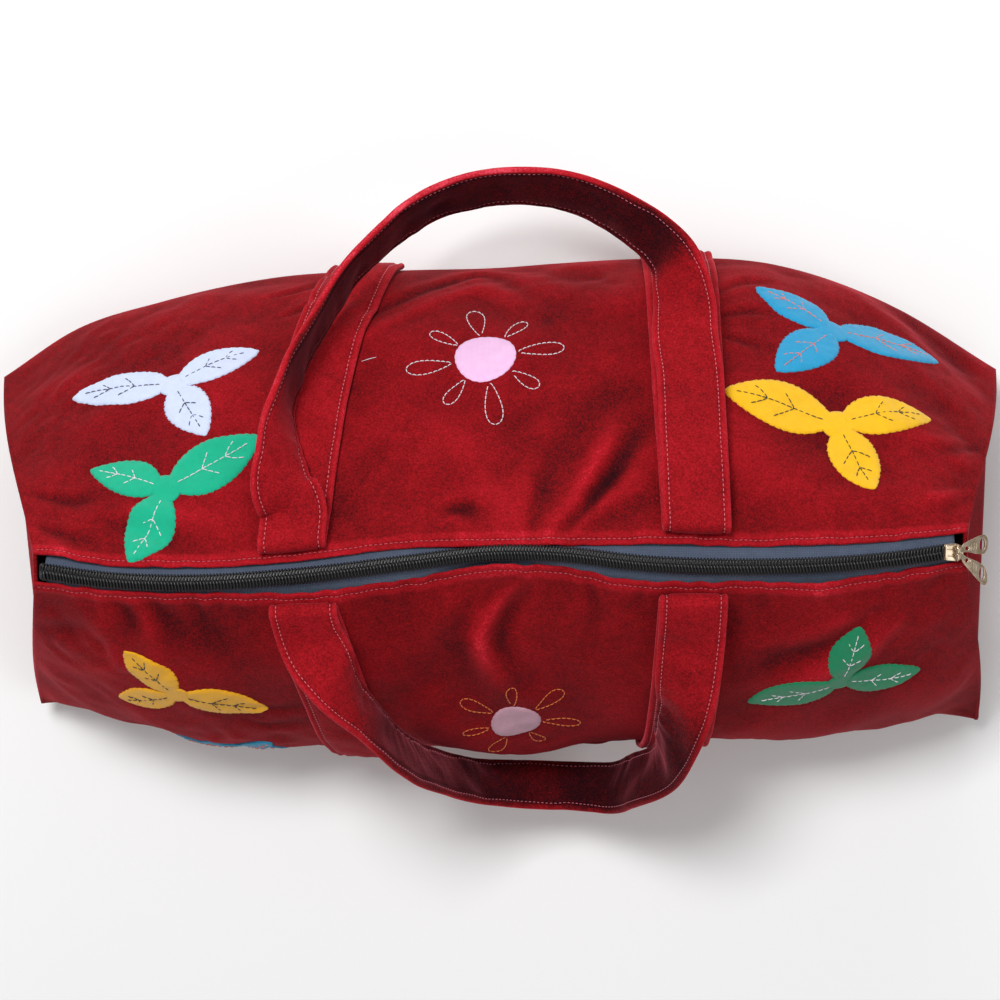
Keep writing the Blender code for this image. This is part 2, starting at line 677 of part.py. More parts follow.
def disc_net(radius):
    """Flat net of a round patch."""
    turn = np.radians(np.arange(0, 360, 30))
    ring = np.stack([np.cos(turn), np.sin(turn)], -1)
    points = np.concatenate([[[0.0, 0.0]], ring * radius * 0.55, ring * radius])
    cells = [(0, 1 + k, 1 + (k + 1) % 12) for k in range(12)]
    cells += [(1 + k, 13 + k, 13 + (k + 1) % 12, 1 + (k + 1) % 12) for k in range(12)]
    return points, cells


def patches():
    """Felt leaf sprigs and round patches sewn on the panels."""
    for name, (side, along, down, turn, size, cloth) in SPRIGS.items():
        flat, cells = sprig_net(size * HEIGHT)
        top = lay_on_panel(side, (along, down), turn, flat, PATCH_LIFT + PATCH_THICK)
        low = lay_on_panel(side, (along, down), turn, flat, PATCH_LIFT)
        sheet_solid(name, top, low, cells, cloth)
    for name, (side, along, down, radius, cloth) in DISCS.items():
        flat, cells = disc_net(radius)
        top = lay_on_panel(side, (along, down), 0, flat, PATCH_LIFT + PATCH_THICK)
        low = lay_on_panel(side, (along, down), 0, flat, PATCH_LIFT)
        sheet_solid(name, top, low, cells, cloth)


def slider_frame():
    """Origin and tilt of the slider on the zip line."""
    places = np.array([SLIDER_X, SLIDER_X + SLIDER_LENGTH]) / (ZIP_LENGTH / 2)
    y, z = zip_line(places)
    tilt = math.atan2(z[1] - z[0], SLIDER_LENGTH)
    return np.array([SLIDER_X, y[0], z[0]]), tilt


def on_slider(points):
    """Points drawn on a level slider (x along the zip, from its back edge) set on the zip."""
    origin, tilt = slider_frame()
    points = np.asarray(points, float)
    x, y, z = points[..., 0], points[..., 1], points[..., 2]
    c, s = math.cos(tilt), math.sin(tilt)
    return np.stack([origin[0] + x * c - z * s, origin[1] + y, origin[2] + x * s + z * c], -1)


def slider():
    """Slider body with an upright bail across it for the two pulls."""
    low, high = -COIL_HEIGHT / 2, SLIDER_HEIGHT - COIL_HEIGHT / 2
    bar, half = BAIL_BAR, SLIDER_WIDTH / 2
    post = half - 0.0001 - bar
    xs = (0.0, BAIL_X - bar / 2, BAIL_X + bar / 2, SLIDER_LENGTH)
    wide = (0.92, 1.0, 1.0, 0.66)
    points, index, faces = [], {}, []
    for level, z in enumerate((low, high)):
        for i, x in enumerate(xs):
            rows = (-half, -post - bar, -post, post, post + bar, half)
            for j, y in enumerate(rows):
                index[level, i, j] = len(points)
                points.append((x, y * wide[i], z))
    feet = ((1, 1), (1, 3))
    for i in range(3):
        for j in range(5):
            corners = ((i, j), (i + 1, j), (i + 1, j + 1), (i, j + 1))
            faces.append(tuple(index[0, a, b] for a, b in reversed(corners)))
            if (i, j) not in feet:
                faces.append(tuple(index[1, a, b] for a, b in corners))
    for i in range(3):
        for j, order in ((0, 1), (5, -1)):
            quad = (index[0, i, j], index[0, i + 1, j], index[1, i + 1, j], index[1, i, j])
            faces.append(quad[::order])
    for j in range(5):
        for i, order in ((0, -1), (3, 1)):
            quad = (index[0, i, j], index[0, i, j + 1], index[1, i, j + 1], index[1, i, j])
            faces.append(quad[::order])
    ring = [index[1, 1, 1], index[1, 2, 1], index[1, 2, 2], index[1, 1, 2]]
    middle, top = post + bar / 2, high + BAIL_RISE
    straight, level = middle - BAIL_BEND, top - BAIL_BEND
    path = [(-1, turn) for turn in (0, 45, 90)] + [(1, turn) for turn in (90, 45, 0)]
    for way, turn in path:
        c, s = math.cos(math.radians(turn)), math.sin(math.radians(turn))
        start = len(points)
        for x, reach in ((xs[1], 0.5), (xs[2], 0.5), (xs[2], -0.5), (xs[1], -0.5)):
            arm = BAIL_BEND + reach * bar
            points.append((x, way * (straight + arm * c), level + arm * s))
        fresh = [start, start + 1, start + 2, start + 3]
        faces += [(ring[k], ring[(k + 1) % 4], fresh[(k + 1) % 4], fresh[k]) for k in range(4)]
        ring = fresh
    last = [index[1, 1, 4], index[1, 2, 4], index[1, 2, 3], index[1, 1, 3]]
    faces += [(ring[k], ring[(k + 1) % 4], last[(k + 1) % 4], last[k]) for k in range(4)]
    points = on_slider(np.array(points))
    add_node("zip_slider", points, outward(points, faces), "nickel")


def pull(name, sideways, splay):
    """Pull tab: an eye around the bail's bar and a plate with a round and an oval hole,
    drawn in its own plane (run, across, height) and drooped about the bar."""
    half, thick = PULL_ROOT / 2, PULL_THICK / 2
    neck = PULL_EYE + 0.0009
    points, faces = [], []

    def ring(turns, radius):
        return [(radius * math.cos(a), radius * math.sin(a)) for a in turns]

    opening = math.asin(thick / PULL_EYE)
    around = ring(np.linspace(opening, 2 * math.pi - opening, 13), PULL_EYE)
    profile = [(neck, thick)] + around + [(neck, -thick)]
    hole = ring(np.linspace(0, 2 * math.pi, 11)[:-1], BAIL_BAR * 0.84)
    for y in (half, -half):
        start = len(points)
        points += [(x, y, z) for x, z in profile + hole]
        net = tessellate_polygon([[Vector((x, z, 0)) for x, z in profile],
                                  [Vector((x, z, 0)) for x, z in hole]])
        faces += [tuple(start + k for k in tri) if y > 0 else tuple(start + k for k in tri[::-1])
                  for tri in net]
    n, m = len(profile), len(hole)
    for k in range(n - 1):
        faces.append((k, k + 1, k + 1 + n + m, k + n + m))
    for k in range(m):
        j = (k + 1) % m
        faces.append((n + j, n + k, n + k + n + m, n + j + n + m))
    lean = math.tan(math.radians(splay))
    runs = np.array([0.0035, 0.0075, 0.0140, 0.0195])
    grow = PULL_END / 2 - half
    wide = half + grow * np.array([0.38, 0.62, 0.90, 1.0])
    near = half + grow * np.array([0.0, 0.15, 0.70, 1.0])
    high, low = (near, wide) if sideways < 0 else (wide, near)
    drift = lean * (runs - neck)
    tip = np.radians([60, 30, 0, -30, -60])
    end_x = runs[-1] + (PULL_LENGTH - runs[-1]) * np.cos(tip)
    end_y = drift[-1] + lean * (end_x - runs[-1]) + wide[-1] * np.sin(tip)
    plate = [(neck, half)] + list(zip(runs, drift + high)) + list(zip(end_x, end_y))
    plate += list(zip(runs[::-1], (drift - low)[::-1])) + [(neck, -half)]
    a = np.radians(np.arange(0, 360, 36))
    eye = [(0.0068 + 0.0013 * math.cos(k), lean * (0.0068 - neck) + 0.0013 * math.sin(k)) for k in a]
    slot_x = PULL_LENGTH - 0.0048
    slot = [(slot_x + 0.0021 * math.cos(k), lean * (slot_x - neck) + 0.0042 * math.sin(k)) for k in a]
    loops = [plate, eye, slot]
    flat = [q for loop in loops for q in loop]
    net = tessellate_polygon([[Vector((x, y, 0)) for x, y in loop] for loop in loops])
    base_at = len(points)
    count = len(flat)
    points += [(x, y, thick) for x, y in flat] + [(x, y, -thick) for x, y in flat]
    for tri in net:
        faces.append(tuple(base_at + k for k in tri))
        faces.append(tuple(base_at + count + k for k in tri[::-1]))
    start = 0
    for number, loop in enumerate(loops):
        size = len(loop)
        for k in range(size):
            if number == 0 and k == size - 1:
                continue
            i, j = base_at + start + k, base_at + start + (k + 1) % size
            faces.append((i, j, j + count, i + count))
        start += size
    points = np.array(points)
    points[:, 1] += sideways
    c, s = math.cos(math.radians(PULL_DROOP)), math.sin(math.radians(PULL_DROOP))
    x, z = points[:, 0] * c + points[:, 2] * s, points[:, 2] * c - points[:, 0] * s
    bail_centre = np.array([BAIL_X, 0.0, SLIDER_HEIGHT - COIL_HEIGHT / 2 + BAIL_RISE])
    points = on_slider(np.stack([x, points[:, 1], z], -1) + bail_centre)
    item = add_node(name, points, faces, "nickel")
    weld(item)


def weld(item):
    """Joins points in one place and turns the faces outwards."""
    mesh = bmesh.new()
    mesh.from_mesh(item.data)
    bmesh.ops.remove_doubles(mesh, verts=mesh.verts, dist=1e-6)
    bmesh.ops.recalc_face_normals(mesh, faces=mesh.faces)
    mesh.to_mesh(item.data)
    mesh.free()


def main():
    """Builds every node of the bag."""
    for item in list(bpy.data.objects):
        bpy.data.objects.remove(item, do_unlink=True)
    body_pieces()
    zip_pieces()
    slider()
    pull("pull_front", -PULL_SPACING / 2, -38.0)
    pull("pull_back", PULL_SPACING / 2, 9.0)
    handle("handle_back", 1, ("back_left", "back_right"), BACK_LOOP)
    handle("handle_front", -1, ("front_left", "front_right"), FRONT_LOOP)
    patches()


main()
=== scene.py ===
"""Looks of the velvet handbag: a long soft bag standing on its base, seen from above, with its
zip along the ridge, both handles fallen outwards and cut cloth sprigs sewn on both panels.
Everything is in metres in the bag's own frame: +X along the zip, +Y the back, +Z up."""

import logging
import math
from dataclasses import dataclass, field
from enum import Enum
from typing import Callable, Dict, List, Optional, Sequence, Tuple

import bpy
import numpy as np
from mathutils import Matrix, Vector
from mathutils.geometry import tessellate_polygon


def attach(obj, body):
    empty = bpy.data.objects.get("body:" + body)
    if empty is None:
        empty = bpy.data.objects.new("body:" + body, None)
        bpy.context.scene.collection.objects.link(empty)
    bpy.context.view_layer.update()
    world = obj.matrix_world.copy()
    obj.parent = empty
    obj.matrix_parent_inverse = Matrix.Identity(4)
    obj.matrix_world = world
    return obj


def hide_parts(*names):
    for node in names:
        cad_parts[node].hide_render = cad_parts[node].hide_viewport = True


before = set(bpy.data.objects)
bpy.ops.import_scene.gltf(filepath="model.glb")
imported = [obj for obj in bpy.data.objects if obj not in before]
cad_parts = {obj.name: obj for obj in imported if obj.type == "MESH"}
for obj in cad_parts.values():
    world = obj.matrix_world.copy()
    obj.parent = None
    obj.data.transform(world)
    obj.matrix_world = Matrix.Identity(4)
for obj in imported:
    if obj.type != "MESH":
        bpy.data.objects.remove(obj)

Array = np.ndarray
log = logging.getLogger("handbag")
MM = 0.001


class Side(Enum):
    """The two long panels of the bag."""

    BACK = 1
    FRONT = -1


# ---------------------------------------------------------------- shape shared with the solids

SECTIONS = (
    # along, zip_y, tape_back, tape_front, zip_z, back, front
    (-1.00, -0.030, 0.92, 0.78, 0.925, 0.690, 0.800),
    (-0.86, -0.060, 0.85, 0.74, 0.965, 0.895, 0.860),
    (-0.68, -0.072, 0.88, 0.70, 0.985, 1.025, 0.920),
    (-0.44, -0.045, 0.86, 0.98, 0.990, 1.135, 0.945),
    (-0.20, 0.008, 0.90, 1.15, 0.985, 1.163, 0.955),
    (0.00, 0.050, 0.40, 0.62, 0.985, 1.175, 0.990),
    (0.12, 0.046, 0.56, 0.90, 0.990, 1.195, 0.960),
    (0.30, 0.010, 1.08, 1.08, 1.000, 1.215, 0.925),
    (0.55, -0.004, 1.18, 0.98, 1.000, 1.190, 0.915),
    (0.80, 0.014, 1.10, 0.96, 0.975, 0.995, 0.905),
    (1.00, 0.055, 0.95, 0.75, 0.925, 0.725, 0.875),
)
FOLDS = (
    # side, along, down, length, width, turn, height
    (1, 0.22, 0.28, 0.42, 0.10, -52, 0.020),
    (1, 0.05, 0.22, 0.34, 0.09, -66, 0.016),
    (1, -0.12, 0.10, 0.10, 0.07, 0, -0.018),
    (1, -0.62, 0.30, 0.45, 0.12, 38, 0.014),
    (1, 0.62, 0.18, 0.50, 0.12, -20, 0.014),
    (1, -0.30, 0.80, 0.30, 0.08, 60, 0.014),
    (-1, -0.06, 0.22, 0.28, 0.08, 62, 0.030),
    (-1, 0.03, 0.20, 0.26, 0.07, 74, -0.022),
    (-1, -0.72, 0.14, 0.34, 0.09, 12, 0.016),
    (-1, 0.72, 0.34, 0.44, 0.10, 32, 0.018),
    (-1, 0.58, 0.22, 0.34, 0.08, 28, -0.016),
)
CREASES = (
    # side, half width mm, height mm, line of (along, down)
    (1, 7, 2.6, ((0.100, 0.010), (0.155, 0.105), (0.205, 0.225), (0.250, 0.330))),
    (1, 7, 1.8, ((0.125, 0.005), (0.210, 0.090), (0.290, 0.145), (0.330, 0.230))),
    (1, 5, -2.8, ((0.115, 0.010), (0.190, 0.105), (0.245, 0.190), (0.290, 0.290))),
    (1, 6, -2.0, ((0.060, 0.010), (0.085, 0.110), (0.115, 0.240))),
    (1, 6, -3.6, ((-0.125, 0.090), (-0.080, 0.095), (-0.040, 0.075))),
    (1, 8, -2.0, ((-0.835, 0.125), (-0.735, 0.090), (-0.630, 0.055))),
    (1, 8, 1.5, ((-0.790, 0.165), (-0.700, 0.130), (-0.610, 0.090))),
    (1, 5, -2.2, ((-0.310, 0.625), (-0.200, 0.750), (-0.040, 0.900), (0.060, 0.760))),
    (1, 6, 1.6, ((-0.300, 0.560), (-0.190, 0.680), (-0.040, 0.800), (0.060, 0.680))),
    (1, 4, -1.9, ((-0.465, 0.805), (-0.400, 0.840), (-0.340, 0.895))),
    (1, 4, -1.7, ((-0.450, 0.705), (-0.390, 0.725), (-0.350, 0.750))),
    (1, 4, -1.7, ((0.410, 0.700), (0.480, 0.785), (0.540, 0.820))),
    (1, 4, -1.7, ((0.415, 0.625), (0.490, 0.660), (0.550, 0.670))),
    (1, 4, -1.5, ((0.425, 0.565), (0.485, 0.555), (0.530, 0.530))),
    (1, 6, -2.0, ((-0.985, 0.260), (-0.900, 0.200), (-0.820, 0.200))),
    (1, 6, -2.0, ((-0.985, 0.120), (-0.930, 0.080), (-0.880, 0.060))),
    (1, 6, 2.0, ((0.985, 0.180), (0.930, 0.130), (0.870, 0.120))),
    (1, 6, -2.2, ((0.990, 0.420), (0.930, 0.340), (0.880, 0.300))),
    (-1, 6, 4.6, ((0.030, 0.060), (-0.050, 0.195), (-0.010, 0.310))),
    (-1, 6, -3.8, ((0.062, 0.070), (-0.002, 0.220), (0.040, 0.345))),
    (-1, 7, -2.2, ((-0.040, 0.050), (-0.110, 0.170), (-0.080, 0.290))),
    (-1, 7, -2.6, ((-0.830, 0.025), (-0.785, 0.100), (-0.795, 0.210))),
    (-1, 6, 1.6, ((-0.790, 0.020), (-0.748, 0.095), (-0.745, 0.190))),
    (-1, 7, -2.6, ((-0.745, 0.010), (-0.710, 0.085), (-0.655, 0.155))),
    (-1, 7, -2.4, ((-0.660, 0.015), (-0.625, 0.105), (-0.600, 0.170))),
    (-1, 9, 4.0, ((0.840, 0.165), (0.705, 0.285), (0.535, 0.360))),
    (-1, 8, -3.8, ((0.800, 0.110), (0.665, 0.215), (0.515, 0.275))),
    (-1, 4, -1.8, ((-0.560, 0.395), (-0.485, 0.425), (-0.410, 0.390))),
    (-1, 4, -1.8, ((-0.550, 0.485), (-0.490, 0.510), (-0.400, 0.470))),
    (-1, 4, -2.0, ((0.295, 0.020), (0.285, 0.090))),
    (-1, 5, -1.8, ((0.180, 0.020), (0.200, 0.120), (0.170, 0.220))),
)
LEGS = {
    "back_left": (1, (-0.262, -0.300, -0.362, -0.404, -0.438)),
    "back_right": (1, (0.352, 0.360, 0.373, 0.392, 0.413)),
    "front_left": (-1, (-0.262, -0.286, -0.330, -0.374, -0.418)),
    "front_right": (-1, (0.338, 0.344, 0.366, 0.388, 0.408)),
}
LEG_STEPS = (1.0, 0.78, 0.50, 0.24, 0.035)
BACK_LOOP = (
    # along, out, up, roll
    (-0.459, 0.315, 0.972, 24),
    (-0.465, 0.425, 0.941, 50),
    (-0.469, 0.594, 0.874, 70),
    (-0.444, 0.777, 0.801, 75),
    (-0.393, 0.967, 0.702, 76),
    (-0.330, 1.162, 0.615, 75),
    (-0.256, 1.309, 0.545, 70),
    (-0.148, 1.454, 0.490, 63),
    (0.000, 1.524, 0.465, 59),
    (0.153, 1.503, 0.465, 57),
    (0.277, 1.400, 0.490, 51),
    (0.378, 1.238, 0.545, 43),
    (0.405, 1.050, 0.625, 24),
    (0.405, 0.900, 0.705, 7),
)
FRONT_LOOP = (
    # along, out, up, roll
    (-0.360, 0.462, 0.952, 36),
    (-0.306, 0.619, 0.862, 66),
    (-0.232, 0.824, 0.716, 75),
    (-0.147, 0.992, 0.487, 73),
    (-0.042, 1.102, 0.309, 63),
    (0.051, 1.142, 0.225, 54),
    (0.156, 1.157, 0.195, 52),
    (0.250, 1.137, 0.275, 56),
    (0.313, 1.058, 0.425, 61),
    (0.363, 0.949, 0.587, 66),
    (0.384, 0.798, 0.733, 52),
    (0.399, 0.645, 0.828, 38),
    (0.405, 0.488, 0.895, 18),
    (0.410, 0.326, 0.936, 7),
)
LEADS = {
    "back_left": ((LEG_STEPS[-1], 0.0), (0.10, 0.0026)),
    "back_right": ((LEG_STEPS[-1], 0.0), (0.14, 0.0030), (0.26, 0.0050), (0.40, 0.0080)),
    "front_left": ((LEG_STEPS[-1], 0.0), (0.10, 0.0026)),
    "front_right": ((LEG_STEPS[-1], 0.0), (0.10, 0.0026)),
}


def unit(vectors: Array) -> Array:
    """Vectors scaled to length one."""
    return vectors / np.maximum(np.linalg.norm(vectors, axis=-1, keepdims=True), 1e-12)


def curve_through(at: Array, stops: Sequence[float], values: Sequence) -> Array:
    """Smooth curve through values at stops: cubic pieces whose end slopes are central differences.

    Args:
        at: places to read.
        stops: rising places of the known values.
        values: known values, one row a stop.

    Returns:
        The values at the places asked for.
    """
    stops = np.asarray(stops, float)
    values = np.asarray(values, float)
    slopes = np.gradient(values, stops, axis=0)
    at = np.clip(np.asarray(at, float), stops[0], stops[-1])
    i = np.clip(np.searchsorted(stops, at) - 1, 0, len(stops) - 2)
    step = stops[i + 1] - stops[i]
    u = (at - stops[i]) / step
    if values.ndim > 1:
        step, u = step[..., None], u[..., None]
    start = (2 * u**3 - 3 * u**2 + 1) * values[i] + (u**3 - 2 * u**2 + u) * step * slopes[i]
    end = (3 * u**2 - 2 * u**3) * values[i + 1] + (u**3 - u**2) * step * slopes[i + 1]
    return start + end


def turned(flat: Array, degrees: float) -> Array:
    """Flat drawing turned about its origin."""
    c, s = math.cos(math.radians(degrees)), math.sin(math.radians(degrees))
    return np.stack([flat[..., 0] * c - flat[..., 1] * s, flat[..., 0] * s + flat[..., 1] * c], -1)


def facing(surface: Callable[[Array, Array], Array], a: Array, b: Array) -> Array:
    """Unit normal of surface(a, b): the cross product of its two central differences."""
    e = 1e-3
    first = surface(a + e, b) - surface(a - e, b)
    return unit(np.cross(first, surface(a, b + e) - surface(a, b - e)))


class Waves:
    """Seeded smooth random relief: a sum of plane sine waves of random heading, phase and
    wavelength, each as high as it is long."""

    def __init__(self, seed: int, count: int, shortest: float, longest: float) -> None:
        """Draws the waves.

        Args:
            seed: seed of the random numbers.
            count: number of waves.
            shortest: shortest wavelength in metres.
            longest: longest wavelength in metres.
        """
        rng = np.random.default_rng(seed)
        length = np.exp(rng.uniform(math.log(shortest), math.log(longest), count))
        heading = rng.uniform(0, math.pi, count)
        self.kx = 2 * math.pi * np.cos(heading) / length
        self.ky = 2 * math.pi * np.sin(heading) / length
        self.phase = rng.uniform(0, 2 * math.pi, count)
        self.high = length / math.sqrt(np.sum(length**2))

    def __call__(self, x: Array, y: Array) -> Array:
        """Height at places x, y in metres, about one unit root mean square over sqrt 2."""
        total = np.zeros(np.broadcast(x, y).shape)
        for kx, ky, phase, high in zip(self.kx, self.ky, self.phase, self.high):
            total = total + high * np.sin(kx * x + ky * y + phase)
        return total


@dataclass(frozen=True)
class BagShape:
    """The bag's surfaces, as functions of a place along the zip (-1 to 1) and a place down a
    panel (0 at the hem beside the zip, 1 at the base seam)."""

    zip_length: float = 0.606
    height: float = 0.235
    half_depth: float = 0.160
    seam_length: Tuple[float, float] = (0.708, 0.682)
    front_shift: float = 0.007
    front_tuck: float = 0.016
    seam_lift: Tuple[float, float] = (0.036, 0.024)
    end_lift: float = 0.018
    gusset_fold: float = 0.20
    cloth: float = 0.0024
    gap: float = 0.0004
    tape_shown: float = 0.012
    coil_height: float = 0.0036
    hem_width: float = 0.0095
    hem_stitch: float = 0.0036
    panel_slant: float = 0.270
    patch_growth: float = 1.08
    cloth_depth: Tuple[float, float] = (0.315, 0.265)
    fold_share: Tuple[float, float] = (1.0, 0.72)
    crease_share: Tuple[float, float] = (1.0, 0.62)
    wrinkle_mm: Tuple[float, float, float] = (1.9, 0.62, 0.90)

    def depth(self, side: int) -> float:
        """Depth of a panel's flat cloth from its hem to its base seam."""
        return self.cloth_depth[0 if side > 0 else 1]

    def section(self, along: Array, column: int) -> Array:
        """A column of the section table read at a place along the zip."""
        rows = np.array(SECTIONS)
        return curve_through(along, rows[:, 0], rows[:, column])

    def zip_line(self, along: Array) -> Tuple[Array, Array]:
        """Sideways place and height of the zip."""
        return self.half_depth * self.section(along, 1), self.height * self.section(along, 4)

    def base_height(self, along: Array, across: Array) -> Array:
        """Height of the base: flat in the middle, turned up at its seams as a power curve."""
        back = self.seam_lift[0] * np.clip((across - 0.78) / 0.22, 0, 1) ** 2.2
        front = self.seam_lift[1] * np.clip((0.22 - across) / 0.22, 0, 1) ** 2.2
        end = self.end_lift * np.clip((np.abs(along) - 0.88) / 0.12, 0, 1) ** 2.0
        return np.sqrt(back**2 + front**2 + end**2)

    def plain_panel(self, side: int, along: Array, down: Array) -> Array:
        """Panel without folds: a cubic curve from the hem out and down to the base seam, its
        ends leaving and landing at set slopes."""
        along, down = np.broadcast_arrays(np.asarray(along, float), np.asarray(down, float))
        back = side > 0
        zip_y, zip_z = self.zip_line(along)
        shown = self.tape_shown * self.section(along, 2 if back else 3)
        full = 1 - np.abs(np.clip(along, -1, 1)) ** 5
        reach = self.half_depth * self.section(along, 5 if back else 6)
        tuck = 0.0 if back else self.front_tuck
        hem = np.stack([zip_y * side + shown, zip_z - 0.35 * shown], -1)
        seam = np.stack([reach - tuck * full, self.base_height(along, 1.0 if back else 0.0)], -1)
        chord = seam - hem
        length = np.linalg.norm(chord, axis=-1)[..., None]
        slope = np.arctan2(-chord[..., 1], chord[..., 0])
        leave = slope + (math.radians(30) - slope) * (0.35 + 0.65 * full)
        land = slope + (math.radians(84 if back else 132) - slope) * full
        first = hem + 0.36 * length * np.stack([np.cos(leave), -np.sin(leave)], -1)
        last = seam + 0.34 * length * np.stack([-np.cos(land), np.sin(land)], -1)
        t = down[..., None]
        out = (1 - t)**3 * hem + 3 * (1 - t)**2 * t * first
        out = out + 3 * (1 - t) * t**2 * last + t**3 * seam
        grow = 0.5 * down + 0.5 * np.sin(0.5 * math.pi * down)
        seam_long = self.seam_length[0 if back else 1]
        shift = 0.0 if back else self.front_shift
        x = along * (self.zip_length + (seam_long - self.zip_length) * grow) / 2 + shift * grow
        return np.stack([x, side * out[..., 0], out[..., 1]], -1)

    def plain_normal(self, side: int, along: Array, down: Array) -> Array:
        """Outward normal of the plain panel."""
        inside_a = np.clip(along, -0.999, 0.999)
        inside_d = np.clip(down, 0.001, 0.999)
        return side * facing(lambda a, d: self.plain_panel(side, a, d), inside_a, inside_d)

    def soft_folds(self, side: int, along: Array, down: Array) -> Array:
        """The large folds that the solids have too: bell-shaped ridges, dying at the edges."""
        total = np.zeros(np.broadcast(along, down).shape)
        half, slant = self.zip_length / 2 / self.height, 1.15
        for row in FOLDS:
            if row[0] != side:
                continue
            _, at, low, length, width, turn, height = row
            dx, dy = (along - at) * half, (down - low) * slant
            c, s = math.cos(math.radians(turn)), math.sin(math.radians(turn))
            run, off = dx * c + dy * s, -dx * s + dy * c
            total = total + height * np.exp(-(off / width) ** 2 - (run / length) ** 4)
        edge = np.minimum(np.minimum(down, 1 - down) / 0.12, (1 - np.abs(along)) / 0.10)
        edge = np.clip(edge, 0, 1)
        calm = self.fold_share[0 if side > 0 else 1]
        return calm * self.height * total * edge * edge * (3 - 2 * edge)

    def on_cloth(self, side: int, along: Array, down: Array) -> Tuple[Array, Array]:
        """Places on the flat cloth in metres: along the zip and down from the hem."""
        return along * self.zip_length / 2 * (1 + 0.14 * down), down * self.depth(side)

    def creases(self, side: int, along: Array, down: Array) -> Array:
        """Sharper folds along drawn lines: a bell across the line with a shallow trough beside
        it, tapering to nothing at the line's ends."""
        x, y = self.on_cloth(side, along, down)
        total = np.zeros(x.shape)
        for owner, width, height, line in CREASES:
            if owner != side:
                continue
            knots = np.array(line)
            drawn = curve_through(np.linspace(0, 1, 22), np.linspace(0, 1, len(knots)), knots)
            px, py = self.on_cloth(side, drawn[:, 0], drawn[:, 1])
            far = np.full(x.shape, 1e9)
            run = np.zeros(x.shape)
            for k in range(21):
                sx, sy = px[k + 1] - px[k], py[k + 1] - py[k]
                t = np.clip(((x - px[k]) * sx + (y - py[k]) * sy) / (sx * sx + sy * sy), 0, 1)
                away = np.hypot(x - px[k] - t * sx, y - py[k] - t * sy)
                nearer = away < far
                far = np.where(nearer, away, far)
                run = np.where(nearer, (k + t) / 21, run)
            w = width * MM * (0.55 + 0.9 * run)
            bell = np.exp(-(far / w) ** 2) - 0.38 * np.exp(-((far - 2.0 * w) / w) ** 2)
            total = total + height * MM * bell * np.sin(math.pi * np.clip(run, 0.04, 0.96)) ** 0.6
        return total * self.crease_share[0 if side > 0 else 1]

    def wrinkles(self, side: int, along: Array, down: Array) -> Array:
        """Seeded soft unevenness of the cloth, and small puckers running from the stitched hem."""
        x, y = self.on_cloth(side, along, down)
        seed = 11 if side > 0 else 23
        broad = Waves(seed, 24, 0.050, 0.160)(x, y)
        small = Waves(seed + 1, 30, 0.014, 0.042)(x + 0.004 * broad, y)
        patchy = 0.5 + 0.5 * Waves(seed + 2, 10, 0.10, 0.30)(x, y)
        pucker = Waves(seed + 3, 16, 0.010, 0.026)(x, 0.12 * y) * np.exp(-y / 0.020)
        tall, fine, hem = self.wrinkle_mm
        return MM * (tall * broad + fine * small * np.clip(patchy, 0, 1.5) + hem * pucker)

    def hem(self, side: int, down: Array) -> Array:
        """Turned hem: one more layer of cloth near the edge, with a groove at its stitching."""
        _, y = self.on_cloth(side, np.zeros_like(down), down)
        layer = 1 / (1 + np.exp((y - self.hem_width) / 0.0007))
        groove = np.exp(-((y - self.hem_stitch) / 0.0009) ** 2)
        return MM * (0.75 * layer - 0.55 * groove)

    def relief(self, side: int, along: Array, down: Array) -> Array:
        """Everything the cloth does beyond the plain panel, dying out at the seams."""
        along, down = np.broadcast_arrays(np.asarray(along, float), np.asarray(down, float))
        edge = np.clip(np.minimum((1 - down) / 0.10, (1 - np.abs(along)) / 0.05), 0, 1)
        edge = edge * edge * (3 - 2 * edge)
        soft = self.creases(side, along, down) + self.wrinkles(side, along, down)
        return self.soft_folds(side, along, down) + edge * soft + self.hem(side, down)

    def panel(self, side: int, along: Array, down: Array) -> Array:
        """Outer face of a panel with all its relief."""
        along, down = np.broadcast_arrays(np.asarray(along, float), np.asarray(down, float))
        lift = self.relief(side, along, down)[..., None]
        return self.plain_panel(side, along, down) + lift * self.plain_normal(side, along, down)

    def base(self, along: Array, across: Array) -> Array:
        """Base: ruled from the front seam to the back seam, with its height curve."""
        along, across = np.broadcast_arrays(np.asarray(along, float), np.asarray(across, float))
        front = self.plain_panel(-1, along, np.ones_like(along))
        back = self.plain_panel(1, along, np.ones_like(along))
        flat = front + (back - front) * across[..., None]
        return np.stack([flat[..., 0], flat[..., 1], self.base_height(along, across)], -1)

    def gusset(self, end: int, down: Array, across: Array) -> Array:
        """End gusset between the panels' edges, folded inwards as a half sine both ways."""
        down, across = np.broadcast_arrays(np.asarray(down, float), np.asarray(across, float))
        front = self.plain_panel(-1, np.full_like(down, end), down)
        back = self.plain_panel(1, np.full_like(down, end), down)
        flat = front + (back - front) * across[..., None]
        ends = np.full_like(across, end)
        straight = self.base(ends, np.zeros_like(across)) * (1 - across[..., None])
        straight = straight + self.base(ends, np.ones_like(across)) * across[..., None]
        flat = flat + (self.base(ends, across) - straight) * down[..., None] ** 6
        width = np.linalg.norm(back - front, axis=-1)
        fold = self.gusset_fold * width * np.sin(math.pi * down)**1.2 * np.sin(math.pi * across)
        uneven = Waves(31 if end > 0 else 37, 24, 0.018, 0.080)(across * width, down * 0.25)
        rim = np.sin(math.pi * across) * np.sin(math.pi * down)
        flat[..., 0] -= end * (fold + 0.0012 * uneven * rim)
        return flat


SHAPE = BagShape()


# ---------------------------------------------------------------- meshes


